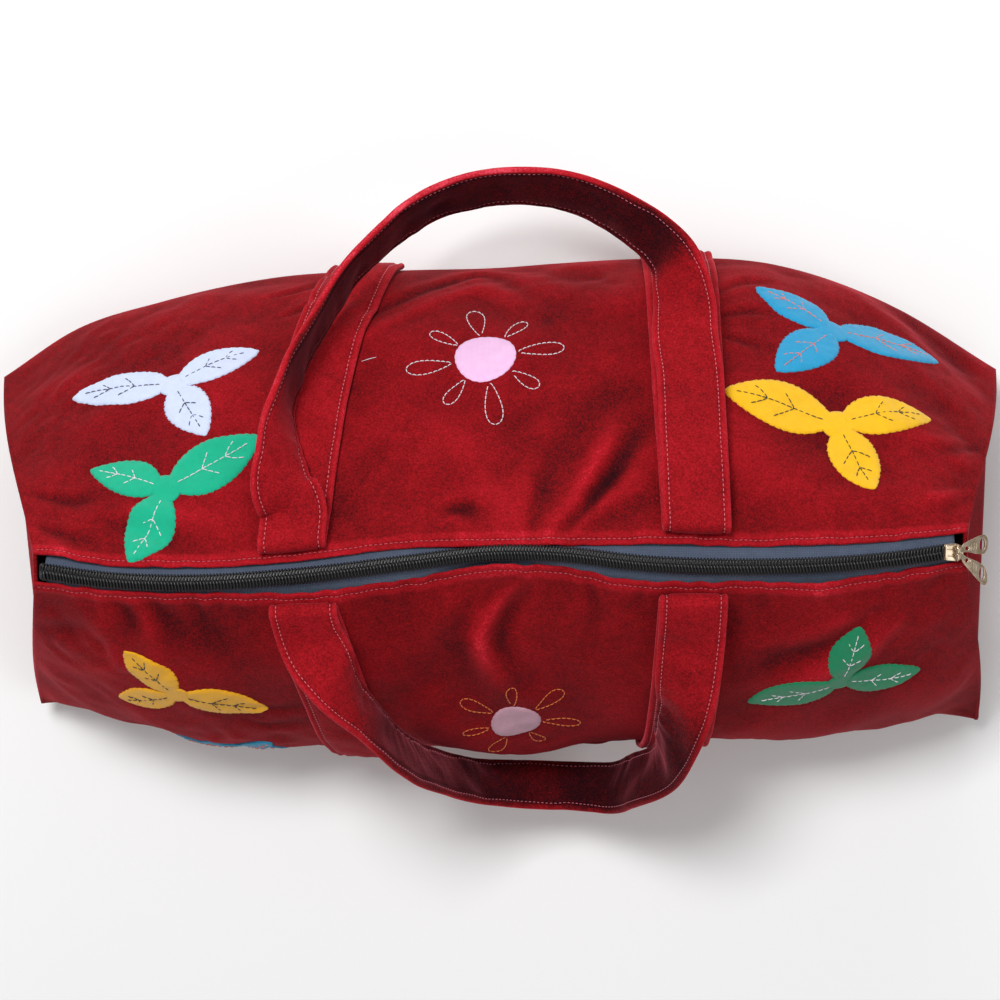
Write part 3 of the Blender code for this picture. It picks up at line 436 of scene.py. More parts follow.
def grid_quads(rows: int, cols: int, wrap: bool = False, start: int = 0) -> Array:
    """Quads of a grid of points stored row by row, closed across its columns if asked."""
    i, j = np.meshgrid(np.arange(rows - 1), np.arange(cols if wrap else cols - 1), indexing="ij")
    k = (j + 1) % cols
    quads = np.stack([i * cols + j, (i + 1) * cols + j, (i + 1) * cols + k, i * cols + k], -1)
    return quads.reshape(-1, 4) + start


def ring_faces(rows: int, cols: int) -> List[Array]:
    """Faces of a tube of rings stored one after another, its two end rings closed."""
    caps = [np.arange(cols)[None, ::-1], np.arange(cols)[None] + (rows - 1) * cols]
    return [grid_quads(rows, cols, wrap=True)[:, ::-1]] + caps


def rods(count: int, rows: int, cols: int, flip: bool) -> List[Array]:
    """Faces of many alike rods stored one after another, each a tube with closed ends.

    Args:
        count: number of rods.
        rows: rings of a rod.
        cols: points of a ring.
        flip: turns the faces over.

    Returns:
        The quads along the rods and the faces of their ends.
    """
    quads = grid_quads(rows, cols, wrap=True)
    caps = np.stack([np.arange(cols), (np.arange(cols) + (rows - 1) * cols)[::-1]])
    if flip:
        quads, caps = quads[:, ::-1], caps[:, ::-1]
    shift = (np.arange(count) * rows * cols)[:, None, None]
    return [(quads[None] + shift).reshape(-1, 4), (caps[None] + shift).reshape(-1, cols)]


@dataclass
class Mesh:
    """Points and faces gathered into one object."""

    name: str
    points: List[Array] = field(default_factory=list)
    faces: List[List[int]] = field(default_factory=list)
    uvs: List[Array] = field(default_factory=list)
    painted_lights: List[Array] = field(default_factory=list)
    count: int = 0

    def add(self, points: Array, faces: Sequence[Array], uv: Optional[Array] = None,
            painted_light: Optional[Array] = None) -> None:
        """Adds points with faces that count from their first point, a place on the cloth in
        millimetres for each point, and a painted shade or highlight value for each point."""
        points = points.reshape(-1, 3)
        for block in faces:
            self.faces += (np.asarray(block) + self.count).tolist()
        self.points.append(points)
        self.uvs.append(np.zeros((len(points), 2)) if uv is None else uv.reshape(-1, 2))
        self.painted_lights.append(np.zeros(len(points)) if painted_light is None else painted_light.reshape(-1))
        self.count += len(points)

    def shell(self, points: Array, faces: Sequence[Array]) -> None:
        """Adds one closed shell, turned so that its faces look outwards."""
        flat = points.reshape(-1, 3)
        centred = flat - flat.mean(axis=0)
        total = 0.0
        for block in faces:
            for k in range(1, block.shape[1] - 1):
                a, b, c = (centred[block[:, i]] for i in (0, k, k + 1))
                total += float(np.sum(a * np.cross(b, c)))
        self.add(flat, [block if total > 0 else block[:, ::-1] for block in faces])

    def make(self, material: bpy.types.Material, body: str, *replaced: str,
             slot: str = "") -> bpy.types.Object:
        """Makes the object, turns its faces outwards, dresses it and declares what it rides on.

        Args:
            material: its material.
            body: the body it moves with.
            replaced: the solids it stands for.
            slot: the record's material slot; not used.

        Returns:
            The new object, at the origin.
        """
        points = np.concatenate(self.points)
        mesh = bpy.data.meshes.new(self.name)
        mesh.from_pydata(points.tolist(), [], self.faces)
        loops = np.zeros(len(mesh.loops), np.int32)
        mesh.loops.foreach_get("vertex_index", loops)
        layer = mesh.uv_layers.new(name="cloth_mm")
        layer.data.foreach_set("uv", np.concatenate(self.uvs)[loops].astype(np.float32).ravel())
        # painted shade (below zero) and painted highlight (above zero), one value a point, stored
        # in the fold attribute
        painted_light = mesh.attributes.new("fold", "FLOAT", "POINT")
        painted_light.data.foreach_set("value", np.concatenate(self.painted_lights).astype(np.float32))
        mesh.polygons.foreach_set("use_smooth", np.ones(len(mesh.polygons), bool))
        mesh.validate()
        if signed_volume(mesh) < 0:
            mesh.flip_normals()
        item = bpy.data.objects.new(self.name, mesh)
        bpy.context.scene.collection.objects.link(item)
        mesh.materials.append(material)
        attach(item, body)
        if replaced:
            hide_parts(*replaced)
        log.info("%s: %d points, %d faces", self.name, len(mesh.vertices), len(mesh.polygons))
        return item


def signed_volume(mesh: bpy.types.Mesh) -> float:
    """Volume from the loop triangles, positive when the faces look outwards."""
    mesh.calc_loop_triangles()
    co = np.zeros(len(mesh.vertices) * 3)
    mesh.vertices.foreach_get("co", co)
    tri = np.zeros(len(mesh.loop_triangles) * 3, np.int32)
    mesh.loop_triangles.foreach_get("vertices", tri)
    a, b, c = np.moveaxis(co.reshape(-1, 3)[tri.reshape(-1, 3)], 1, 0)
    return float(np.sum(a * np.cross(b, c)) / 6)


def slab(mesh: Mesh, outer: Array, inner: Array, uv: Array, painted_light: Optional[Array] = None,
         roll: int = 3, bulge: float = 0.5) -> None:
    """Closed sheet between two grids. Its first column's edge is rolled: a half circle carried
    from the outer grid to the inner one; the other three edges are straight strips.

    Args:
        mesh: the mesh it is added to.
        outer: grid of points, rows by columns.
        inner: the same grid on the other side of the cloth.
        uv: places on the cloth for the grid.
        painted_light: painted shade and highlight values for the grid.
        roll: points in the rolled edge.
        bulge: reach of the roll beyond the edge, as a share of the cloth.
    """
    rows, cols = outer.shape[:2]
    a, b = outer[:, 0], inner[:, 0]
    away = unit(outer[:, 0] - outer[:, 1]) * np.linalg.norm(a - b, axis=-1, keepdims=True) * bulge
    turn = np.linspace(0, math.pi, roll + 2)[1:-1]
    ring = [(a + b) / 2 + (a - b) / 2 * math.cos(t) + away * math.sin(t) for t in turn]
    loop = np.concatenate([outer[:, ::-1], np.stack(ring, 1), inner], 1)
    edge_uv = np.repeat(uv[:, :1], roll, 1)
    loop_uv = np.concatenate([uv[:, ::-1], edge_uv, uv], 1)
    flat = np.zeros(outer.shape[:2]) if painted_light is None else painted_light
    loop_painted_light = np.concatenate([flat[:, ::-1], np.repeat(flat[:, :1], roll, 1), flat], 1)
    wide = loop.shape[1]
    faces = [grid_quads(rows, wide, wrap=True)]
    k = np.arange((wide - 1) // 2)
    for row, flip in ((0, False), (rows - 1, True)):
        cap = np.stack([k, k + 1, wide - 2 - k, wide - 1 - k], -1) + row * wide
        if wide % 2 == 1 and cap[-1][1] == cap[-1][2]:
            faces.append((cap[-1:, [0, 1, 3]])[:, ::-1 if flip else 1])
            cap = cap[:-1]
        faces.append(cap[:, ::-1] if flip else cap)
    mesh.add(loop, faces, loop_uv, loop_painted_light)


def tube(mesh: Mesh, rings: Array, uv: Optional[Array] = None,
         painted_light: Optional[Array] = None) -> None:
    """Closed tube through rings of points, its two end rings closed by one face each."""
    mesh.add(rings, ring_faces(*rings.shape[:2]), uv, painted_light)


def stitch_row(mesh: Mesh, path: Array, normal: Array, pitch: float, length: float,
               radius: float, start: float = 0.0, rise: float = 0.0002) -> None:
    """Row of thread stitches along a path: each is a short six-sided rod whose middle stands
    over the cloth and whose ends dip into it, as a half sine.

    Args:
        mesh: the mesh they are added to.
        path: points of the path.
        normal: outward normals of the cloth at those points.
        pitch: distance from one stitch to the next.
        length: length of a stitch.
        radius: radius of the thread.
        start: distance of the first stitch from the path's start.
        rise: height of the stitch's middle over the path.
    """
    steps = np.append(0, np.cumsum(np.linalg.norm(np.diff(path, axis=0), axis=1)))
    first = np.arange(start, steps[-1] - length, pitch)
    if len(first) == 0:
        return
    share = np.array([0.0, 0.18, 0.5, 0.82, 1.0])
    at = (first[:, None] + share[None] * length).ravel()
    middle = np.stack([np.interp(at, steps, path[:, i]) for i in range(3)], -1)
    up = unit(np.stack([np.interp(at, steps, normal[:, i]) for i in range(3)], -1))
    ahead = unit(np.stack([np.interp(at + 0.0004, steps, path[:, i]) for i in range(3)], -1)
                 - np.stack([np.interp(at - 0.0004, steps, path[:, i]) for i in range(3)], -1))
    aside = unit(np.cross(ahead, up))
    hump = np.tile(np.sin(math.pi * share), len(first))[:, None]
    middle = middle + up * (hump * (rise + radius) - radius * 0.8)
    size = radius * np.tile([0.55, 0.95, 1.0, 0.95, 0.55], len(first))[:, None]
    turn = np.radians(np.arange(0, 360, 60))
    rings = np.stack([middle + size * (aside * math.cos(t) + up * math.sin(t)) for t in turn], 1)
    rings = rings.reshape(len(first), 5, 6, 3)
    mesh.add(rings, rods(len(first), 5, 6, flip=True))


# ---------------------------------------------------------------- finishes


def linear(colour: str) -> Tuple[float, float, float, float]:
    """Linear colour of an sRGB hex value such as #8B1116."""
    values = [int(colour[i:i + 2], 16) / 255 for i in (1, 3, 5)]
    r, g, b = [v / 12.92 if v <= 0.04045 else ((v + 0.055) / 1.055) ** 2.4 for v in values]
    return (r, g, b, 1.0)


def node(tree: bpy.types.NodeTree, kind: str, inputs: Optional[Dict] = None,
         **settings) -> bpy.types.Node:
    """Adds one node.

    Args:
        tree: the material's node tree.
        kind: the node's type.
        inputs: values or output sockets for its inputs, by name or number.
        settings: its own settings.

    Returns:
        The new node.
    """
    made = tree.nodes.new(kind)
    for key, value in settings.items():
        setattr(made, key, value)
    for key, value in (inputs or {}).items():
        if isinstance(value, bpy.types.NodeSocket):
            tree.links.new(value, made.inputs[key])
        else:
            made.inputs[key].default_value = value
    return made


def new_material(name: str) -> Tuple[bpy.types.Material, bpy.types.NodeTree, bpy.types.Node]:
    """A node material with its Principled shader."""
    made = bpy.data.materials.new(name)
    made.use_nodes = True
    return made, made.node_tree, made.node_tree.nodes["Principled BSDF"]


def graded(tree: bpy.types.NodeTree, value: bpy.types.NodeSocket,
           stops: Sequence[Tuple[float, str]]) -> bpy.types.NodeSocket:
    """Colour ramp.

    Args:
        tree: the material's node tree.
        value: the number that picks the colour.
        stops: rising places and their hex colours.

    Returns:
        The ramp's colour.
    """
    ramp = node(tree, "ShaderNodeValToRGB", {"Fac": value})
    spots = ramp.color_ramp.elements
    for spot, (place, colour) in zip(spots, (stops[0], stops[-1])):
        spot.position, spot.color = place, linear(colour)
    for place, colour in stops[1:-1]:
        spots.new(place).color = linear(colour)
    return ramp.outputs["Color"]


@dataclass(frozen=True)
class Velvet:
    """Cotton velvet: a dense cut pile that swallows light face on, shines at grazing angles, and
    shows every way it was brushed as a lighter or darker cloud. Painted shade and painted
    highlights come in from the fold attribute."""

    name: str
    deep: str
    dark: str
    mid: str
    light: str
    glow: str
    sheen: str
    cloud_mm: float = 60.0
    brush_mm: float = 9.0
    pile_mm: float = 1.25
    lint_mm: float = 5.5
    clouds: float = 0.30
    nap: float = 0.26
    # share of the painted shade and highlights from the fold attribute in the colour
    painted_light: float = 0.40
    specular: float = 0.12
    sheen_weight: float = 0.42
    sheen_rough: float = 0.34

    def make(self) -> bpy.types.Material:
        """Builds the material."""
        made, tree, shader = new_material(self.name)
        place = node(tree, "ShaderNodeTexCoord").outputs["Object"]
        cloud = node(tree, "ShaderNodeTexNoise", {
            "Vector": place, "Scale": 1000 / self.cloud_mm, "Detail": 5.0, "Roughness": 0.55,
            "Distortion": 0.6})
        brush = node(tree, "ShaderNodeTexNoise", {
            "Vector": place, "Scale": 1000 / self.brush_mm, "Detail": 4.0, "Roughness": 0.6,
            "Distortion": 1.2})
        pile = node(tree, "ShaderNodeTexNoise", {
            "Vector": place, "Scale": 1000 / self.pile_mm, "Detail": 2.0, "Roughness": 0.6})
        # painted shade and highlights, one value a point
        fold = node(tree, "ShaderNodeAttribute", attribute_name="fold")
        both = node(tree, "ShaderNodeMath", {0: cloud.outputs["Fac"], 1: self.clouds},
                    operation="MULTIPLY")
        for part, share in ((brush, self.clouds), (fold, self.painted_light)):
            both = node(tree, "ShaderNodeMath", {
                0: part.outputs["Fac"], 1: share, 2: both.outputs[0]}, operation="MULTIPLY_ADD")
        nap = node(tree, "ShaderNodeMapRange", {
            "Value": pile.outputs["Fac"], "From Min": 0.32, "From Max": 0.68,
            "To Max": self.nap})
        both = node(tree, "ShaderNodeMath", {0: nap.outputs["Result"], 1: both.outputs[0]},
                    operation="ADD")
        lint = node(tree, "ShaderNodeTexVoronoi", {"Vector": place, "Scale": 1000 / self.lint_mm})
        speck = node(tree, "ShaderNodeMapRange", {
            "Value": lint.outputs["Distance"], "From Min": 0.075, "From Max": 0.03, "To Max": 0.42})
        both = node(tree, "ShaderNodeMath", {0: speck.outputs["Result"], 1: both.outputs[0]},
                    operation="ADD")
        # the darkest stops come mostly from painted shade, the brightest from painted highlights
        # and lint specks; the spread between is random cloud, brushing and pile tone
        colour = graded(tree, both.outputs[0], (
            (0.00, self.deep), (0.22, self.dark), (0.44, self.mid), (0.70, self.light),
            (0.92, self.glow)))
        bump = node(tree, "ShaderNodeBump", {
            "Height": pile.outputs["Fac"], "Strength": 0.6, "Distance": 0.0007})
        tree.links.new(colour, shader.inputs["Base Color"])
        tree.links.new(bump.outputs["Normal"], shader.inputs["Normal"])
        shader.inputs["Roughness"].default_value = 0.9
        shader.inputs["Specular IOR Level"].default_value = self.specular
        shader.inputs["Sheen Weight"].default_value = self.sheen_weight
        shader.inputs["Sheen Roughness"].default_value = self.sheen_rough
        shader.inputs["Sheen Tint"].default_value = linear(self.sheen)
        return made


@dataclass(frozen=True)
class WovenCloth:
    """Plain-woven cotton or polyester: warp and weft threads crossing, with a little fuzz."""

    name: str
    mid: str
    dark: str
    thread_mm: float = 0.9
    rough: float = 0.85
    sheen: float = 0.15
    uneven: float = 0.5

    def make(self) -> bpy.types.Material:
        """Builds the material; the threads run along the piece's own cloth map in millimetres."""
        made, tree, shader = new_material(self.name)
        cloth = node(tree, "ShaderNodeUVMap", uv_map="cloth_mm").outputs["UV"]
        place = node(tree, "ShaderNodeTexCoord").outputs["Object"]
        waves = [node(tree, "ShaderNodeTexWave", {
            "Vector": cloth, "Scale": 0.314 / self.thread_mm, "Distortion": 0.6, "Detail": 1.0},
            wave_type="BANDS", bands_direction=way) for way in ("X", "Y")]
        weave = node(tree, "ShaderNodeMath", {
            0: waves[0].outputs["Fac"], 1: waves[1].outputs["Fac"]}, operation="MULTIPLY")
        fuzz = node(tree, "ShaderNodeTexNoise", {
            "Vector": place, "Scale": 180.0, "Detail": 6.0, "Roughness": 0.65})
        mixed = node(tree, "ShaderNodeMath", {
            0: fuzz.outputs["Fac"], 1: self.uneven, 2: weave.outputs[0]}, operation="MULTIPLY_ADD")
        colour = graded(tree, mixed.outputs[0], ((0.05, self.dark), (0.62, self.mid)))
        bump = node(tree, "ShaderNodeBump", {
            "Height": mixed.outputs[0], "Strength": 0.5, "Distance": 0.0003})
        tree.links.new(colour, shader.inputs["Base Color"])
        tree.links.new(bump.outputs["Normal"], shader.inputs["Normal"])
        shader.inputs["Roughness"].default_value = self.rough
        shader.inputs["Specular IOR Level"].default_value = 0.25
        shader.inputs["Sheen Weight"].default_value = self.sheen
        return made


@dataclass(frozen=True)
class Moulded:
    """Extruded nylon or plated metal: smooth, with a faint unevenness in its gloss."""

    name: str
    mid: str
    dark: str
    rough: float
    metal: float
    grain_mm: float = 2.0

    def make(self) -> bpy.types.Material:
        """Builds the material."""
        made, tree, shader = new_material(self.name)
        place = node(tree, "ShaderNodeTexCoord").outputs["Object"]
        stain = node(tree, "ShaderNodeTexNoise", {
            "Vector": place, "Scale": 1000 / self.grain_mm, "Detail": 4.0, "Roughness": 0.6})
        colour = graded(tree, stain.outputs["Fac"], ((0.32, self.dark), (0.62, self.mid)))
        rough = node(tree, "ShaderNodeMapRange", {
            "Value": stain.outputs["Fac"], "To Min": self.rough * 0.8, "To Max": self.rough * 1.3})
        bump = node(tree, "ShaderNodeBump", {
            "Height": stain.outputs["Fac"], "Strength": 0.12, "Distance": 0.0002})
        tree.links.new(colour, shader.inputs["Base Color"])
        tree.links.new(rough.outputs["Result"], shader.inputs["Roughness"])
        tree.links.new(bump.outputs["Normal"], shader.inputs["Normal"])
        shader.inputs["Metallic"].default_value = self.metal
        return made


class Finishes:
    """Every material of the bag, made once."""

    def __init__(self) -> None:
        """Builds them."""
        # the darkest and brightest of these velvet colours are reached mostly through painted shade
        # and painted highlights
        self.panel = Velvet("cotton_velvet_red", "#22030A", "#4E050B", "#7E0910", "#A6121E",
                            "#D22A3A", "#E85866").make()
        self.strap = Velvet("cotton_velvet_strap", "#24030A", "#5A070D", "#930D16", "#B61A27",
                            "#E0485A", "#F07080").make()
        self.tape = WovenCloth("polyester_tape_slate", "#545F74", "#323A48", 1.1, 0.8).make()
        self.coil = Moulded("extruded_nylon_black", "#101012", "#070708", 0.34, 0.0, 3.0).make()
        self.nickel = Moulded("plated_pale_nickel", "#D8C6AE", "#B79E82", 0.24, 1.0, 4.0).make()
        self.seam_thread, self.pale_thread = (
            WovenCloth("cotton_thread_" + name, mid, dark, 0.5, 0.8, 0.2).make()
            for name, mid, dark in (("rose", "#DC6672", "#A83C48"), ("pale", "#EE8C9A", "#C85868")))
        self.cotton = {
            name: WovenCloth("plain_cotton_" + name, mid, dark, 0.8, 0.88, 0.25).make()
            for name, mid, dark in (
                ("white", "#D8E2FB", "#B4C0E0"), ("green", "#0EB890", "#0A9470"),
                ("blue", "#2AA4D4", "#1484B4"), ("yellow", "#F8C613", "#E4A20E"),
                ("gold", "#F0B412", "#D88E0C"), ("teal", "#0E8A5C", "#0A6A46"),
                ("sky", "#1A90B8", "#0E7096"), ("pink", "#F6CCEE", "#E4A8DC"),
                ("mauve", "#CD9EAE", "#AE7E90"))}
        self.threads = {
            name: WovenCloth("embroidery_cotton_" + name, mid, dark, 0.5, 0.75, 0.3).make()
            for name, mid, dark in (
                ("dark", "#2A2430", "#16121A"), ("white", "#F2F0F4", "#CFC8D2"),
                ("coral", "#F0907C", "#D06A58"), ("orange", "#F08A3C", "#C8601E"))}


# ---------------------------------------------------------------- bag body


@dataclass
class VelvetPanel:
    """One long panel: fine cloth with its folds, rolled and topstitched at the zip; painted shade
    and highlights follow its relief.
    """

    side: Side
    name: str
    node: str
    along_cells: int = 270
    down_cells: int = 96
    # relief heights that give a full painted shade or painted highlight
    crease_shade_height: float = 5 * MM
    wrinkle_shade_height: float = 13 * MM
    hem_shade_height: float = 1.5 * MM

    def rows(self) -> Array:
        """Places down the panel, close together over the hem."""
        fine = np.array([0, 0.4, 1.0, 1.8, 2.6, 3.1, 3.6, 4.1, 4.7, 5.6, 7.0, 8.2, 9.2, 9.9, 10.8])
        fine = fine * MM / SHAPE.depth(self.side.value)
        return np.append(fine, np.linspace(fine[-1], 1, self.down_cells)[1:])

    def build(self, finishes: Finishes) -> None:
        """Makes the panel and its row of hem stitches."""
        side = self.side.value
        along = np.linspace(-1, 1, self.along_cells + 1)
        a, d = np.meshgrid(along, self.rows(), indexing="ij")
        outer = SHAPE.panel(side, a, d)
        inner = outer - SHAPE.plain_normal(side, a, d) * SHAPE.cloth
        x, y = SHAPE.on_cloth(side, a, d)
        # painted shade in crease valleys, wrinkle troughs and the hem's stitch groove; painted
        # highlight on their ridges and on the hem's extra layer
        fold = SHAPE.creases(side, a, d) / self.crease_shade_height
        fold = fold + SHAPE.wrinkles(side, a, d) / self.wrinkle_shade_height
        fold = np.clip(fold + SHAPE.hem(side, d) / self.hem_shade_height, -1, 1)
        mesh = Mesh(self.name)
        slab(mesh, outer, inner, np.stack([x, y], -1) / MM, fold)
        mesh.make(finishes.panel, "bag", self.node, slot="velvet_red")
        run = np.linspace(-0.992, 0.992, 900)
        low = np.full_like(run, SHAPE.hem_stitch / SHAPE.depth(side))
        thread = Mesh("hem_stitches_" + self.side.name.lower())
        stitch_row(thread, SHAPE.panel(side, run, low), SHAPE.plain_normal(side, run, low),
                   3.3 * MM, 2.5 * MM, 0.28 * MM)
        thread.make(finishes.seam_thread, "bag")


@dataclass
class Body:
    """Base and end gussets."""

    def build(self, finishes: Finishes) -> None:
        """Makes the base and both gussets."""
        along = np.linspace(-1, 1, 161)
        across = np.linspace(0, 1, 61)
        a, q = np.meshgrid(along, across, indexing="ij")
        normal = -facing(SHAPE.base, np.clip(a, -0.999, 0.999), np.clip(q, 0.001, 0.999))
        outer = SHAPE.base(a, q)
        mesh = Mesh("velvet_base")
        slab(mesh, outer, outer - normal * SHAPE.cloth, outer[..., :2] / MM, bulge=0.0)
        mesh.make(finishes.panel, "bag", "base_panel", slot="velvet_red")
        for end, name in ((-1, "left"), (1, "right")):
            down = np.linspace(0, 1, 91)
            d, q = np.meshgrid(down, np.linspace(0, 1, 61), indexing="ij")
            safe_d, safe_q = np.clip(d, 0.001, 0.999), np.clip(q, 0.001, 0.999)
            normal = end * facing(lambda i, j: SHAPE.gusset(end, i, j), safe_d, safe_q)
            outer = SHAPE.gusset(end, d, q)
            mesh = Mesh("velvet_gusset_" + name)
            slab(mesh, outer, outer - normal * SHAPE.cloth, outer[..., 1:] / MM, bulge=0.0)
            mesh.make(finishes.panel, "bag", "end_gusset_" + name, slot="velvet_red")


# ---------------------------------------------------------------- zip


@dataclass
class Zip:
    """Woven tapes, and the nylon coil with each of its teeth."""

    bend: float = 0.003
    tail: float = 0.005
    pitch: float = 0.0021
    width: float = 0.0100
    wire: float = 0.00074
    coil_reach: float = 0.286

    def reach(self) -> float:
        """Half length of the zip's flat run."""
        inside = SHAPE.cloth + 2 * SHAPE.gap + self.bend + SHAPE.coil_height + 0.001
        return SHAPE.zip_length / 2 - inside

    def bent(self, flat: Array, bend: float) -> Tuple[Array, Array, Array]:
        """Flat places continued by a quarter circle and a tail down over each end: place along
        the zip, drop, and lean of the surface."""
        turn = np.radians([15, 30, 45, 60, 75, 90, 90])
        tail = self.tail * np.array([0, 0, 0, 0, 0, 0, 1])
        over, down = bend * np.sin(turn), bend * (1 - np.cos(turn)) + tail
        x = np.concatenate([flat[0] - over[::-1], flat, flat[-1] + over])
        drop = np.concatenate([down[::-1], np.zeros(len(flat)), down])
        lean = np.concatenate([-turn[::-1], np.zeros(len(flat)), turn])
        return x, drop, lean

    def tapes(self, finishes: Finishes) -> None:
        """Two tapes from under the coil to under the hems, lightly waved across."""
        half = SHAPE.zip_length / 2
        x, drop, lean = self.bent(np.linspace(-self.reach(), self.reach(), 261), self.bend)
        along = np.clip(x, -self.reach(), self.reach()) / half
        zip_y, zip_z = SHAPE.zip_line(along)
        up = np.stack([np.sin(lean), np.zeros_like(lean), np.cos(lean)], -1)
        for side, name in ((1, "back"), (-1, "front")):
            first = np.stack([x, zip_y + side * 0.0006,
                              zip_z - SHAPE.coil_height / 2 - SHAPE.gap - drop], -1)
            rows = [(first, up)]
            for low in (0.0, 0.030):
                place = SHAPE.plain_panel(side, along, np.full_like(along, low))
                normal = SHAPE.plain_normal(side, along, np.full_like(along, low))
                under = place - normal * (SHAPE.cloth + 2.5 * SHAPE.gap)
                under[:, 0] = x
                under[:, 2] -= drop
                rows.append((under, unit(normal + np.abs(np.sin(lean))[:, None] * up)))
            share = np.concatenate([np.linspace(0, 1, 9), [1.5, 2.0]])
            grid = np.stack([curve_through(share, [0, 1, 2], [r[0][i] for r in rows])
                             for i in range(len(x))])
            lift = np.stack([curve_through(share, [0, 1, 2], [r[1][i] for r in rows])
                             for i in range(len(x))])
            wave = Waves(41 if side > 0 else 43, 14, 0.020, 0.080)(x[:, None], share[None] * 0.01)
            rise = 0.00028 * wave * np.sin(math.pi * np.clip(share, 0, 1))
            grid = grid + lift * rise[..., None]
            mesh = Mesh("zip_tape_woven_" + name)
            uv = np.stack(np.broadcast_arrays(x[:, None], share[None] * 0.012), -1) / MM
            slab(mesh, grid, grid - unit(lift) * 0.0010, uv)
            mesh.make(finishes.tape, "bag", "zip_tape_" + name, slot="tape_slate")

    def coil(self, finishes: Finishes) -> None:
        """The coil: bent wires from both edges meeting in the middle, over a flat dark core."""
        half, reach = SHAPE.zip_length / 2, self.reach()
        bend = self.bend + SHAPE.coil_height / 2 + SHAPE.gap
        bx, bdrop, blean = self.bent(np.linspace(-reach, self.coil_reach, 300), bend)
        bx, bdrop, blean = bx[:-7], bdrop[:-7], blean[:-7]
        run = np.append(0, np.cumsum(np.hypot(np.diff(bx), np.diff(bdrop))))
        rings: List[Array] = []
        line = ((4.85, -1.25), (5.00, -0.35), (4.55, 0.65), (3.30, 1.02), (1.60, 1.06),
                (-0.30, 0.98), (-1.00, 0.45), (-0.75, -0.35))
        turn = np.radians(np.arange(0, 360, 60) + 30)
        for side, offset in ((1, 0.0), (-1, 0.5)):
            at = np.arange(0.0012 + offset * self.pitch, run[-1], self.pitch)
            x, drop, lean = (np.interp(at, run, v) for v in (bx, bdrop, blean))
            zip_y, zip_z = SHAPE.zip_line(np.clip(x, -reach, reach) / half)
            ahead = np.stack([np.cos(lean), np.zeros_like(lean), -np.sin(lean)], -1)
            up = np.stack([np.sin(lean), np.zeros_like(lean), np.cos(lean)], -1)
            centre = np.stack([x, zip_y, zip_z - drop], -1)
            across = np.array([0.0, float(side), 0.0])
            path = [centre + across * w * MM + up * h * MM + ahead * 0.00020 * (w - 2.5)
                    for w, h in line]
            path = np.stack(path, 1)
            tangent = unit(np.gradient(path, axis=1))
            depth = np.broadcast_to(ahead[:, None], tangent.shape)
            lift = unit(np.cross(depth, tangent))
            depth = unit(np.cross(tangent, lift))
            thin = np.array([0.7, 1, 1, 1, 1, 1.05, 1.05, 0.7])[None, :, None] * self.wire
            rings.append(np.stack([path + thin * (depth * math.cos(t) + lift * math.sin(t))
                                   for t in turn], 2))
        mesh = Mesh("zip_coil_teeth")
        for teeth in rings:
            mesh.add(teeth, rods(len(teeth), len(line), len(turn), flip=False))
        zip_y, zip_z = SHAPE.zip_line(np.clip(bx, -reach, reach) / half)
        up = np.stack([np.sin(blean), np.zeros_like(blean), np.cos(blean)], -1)
        centre = np.stack([bx, zip_y, zip_z - bdrop], -1)
        flat = ((4.6, -0.9), (3.8, 0.2), (-3.8, 0.2), (-4.6, -0.9), (-3.8, -1.6), (3.8, -1.6))
        core = [centre + np.array([0.0, w * MM, 0.0]) + up * h * MM for w, h in flat]
        tube(mesh, np.stack(core, 1))
        mesh.make(finishes.coil, "bag", "zip_coil", slot="coil_black")

    def build(self, finishes: Finishes) -> None:
        """Makes the tapes and the coil."""
        self.tapes(finishes)
        self.coil(finishes)


# ---------------------------------------------------------------- slider and pulls


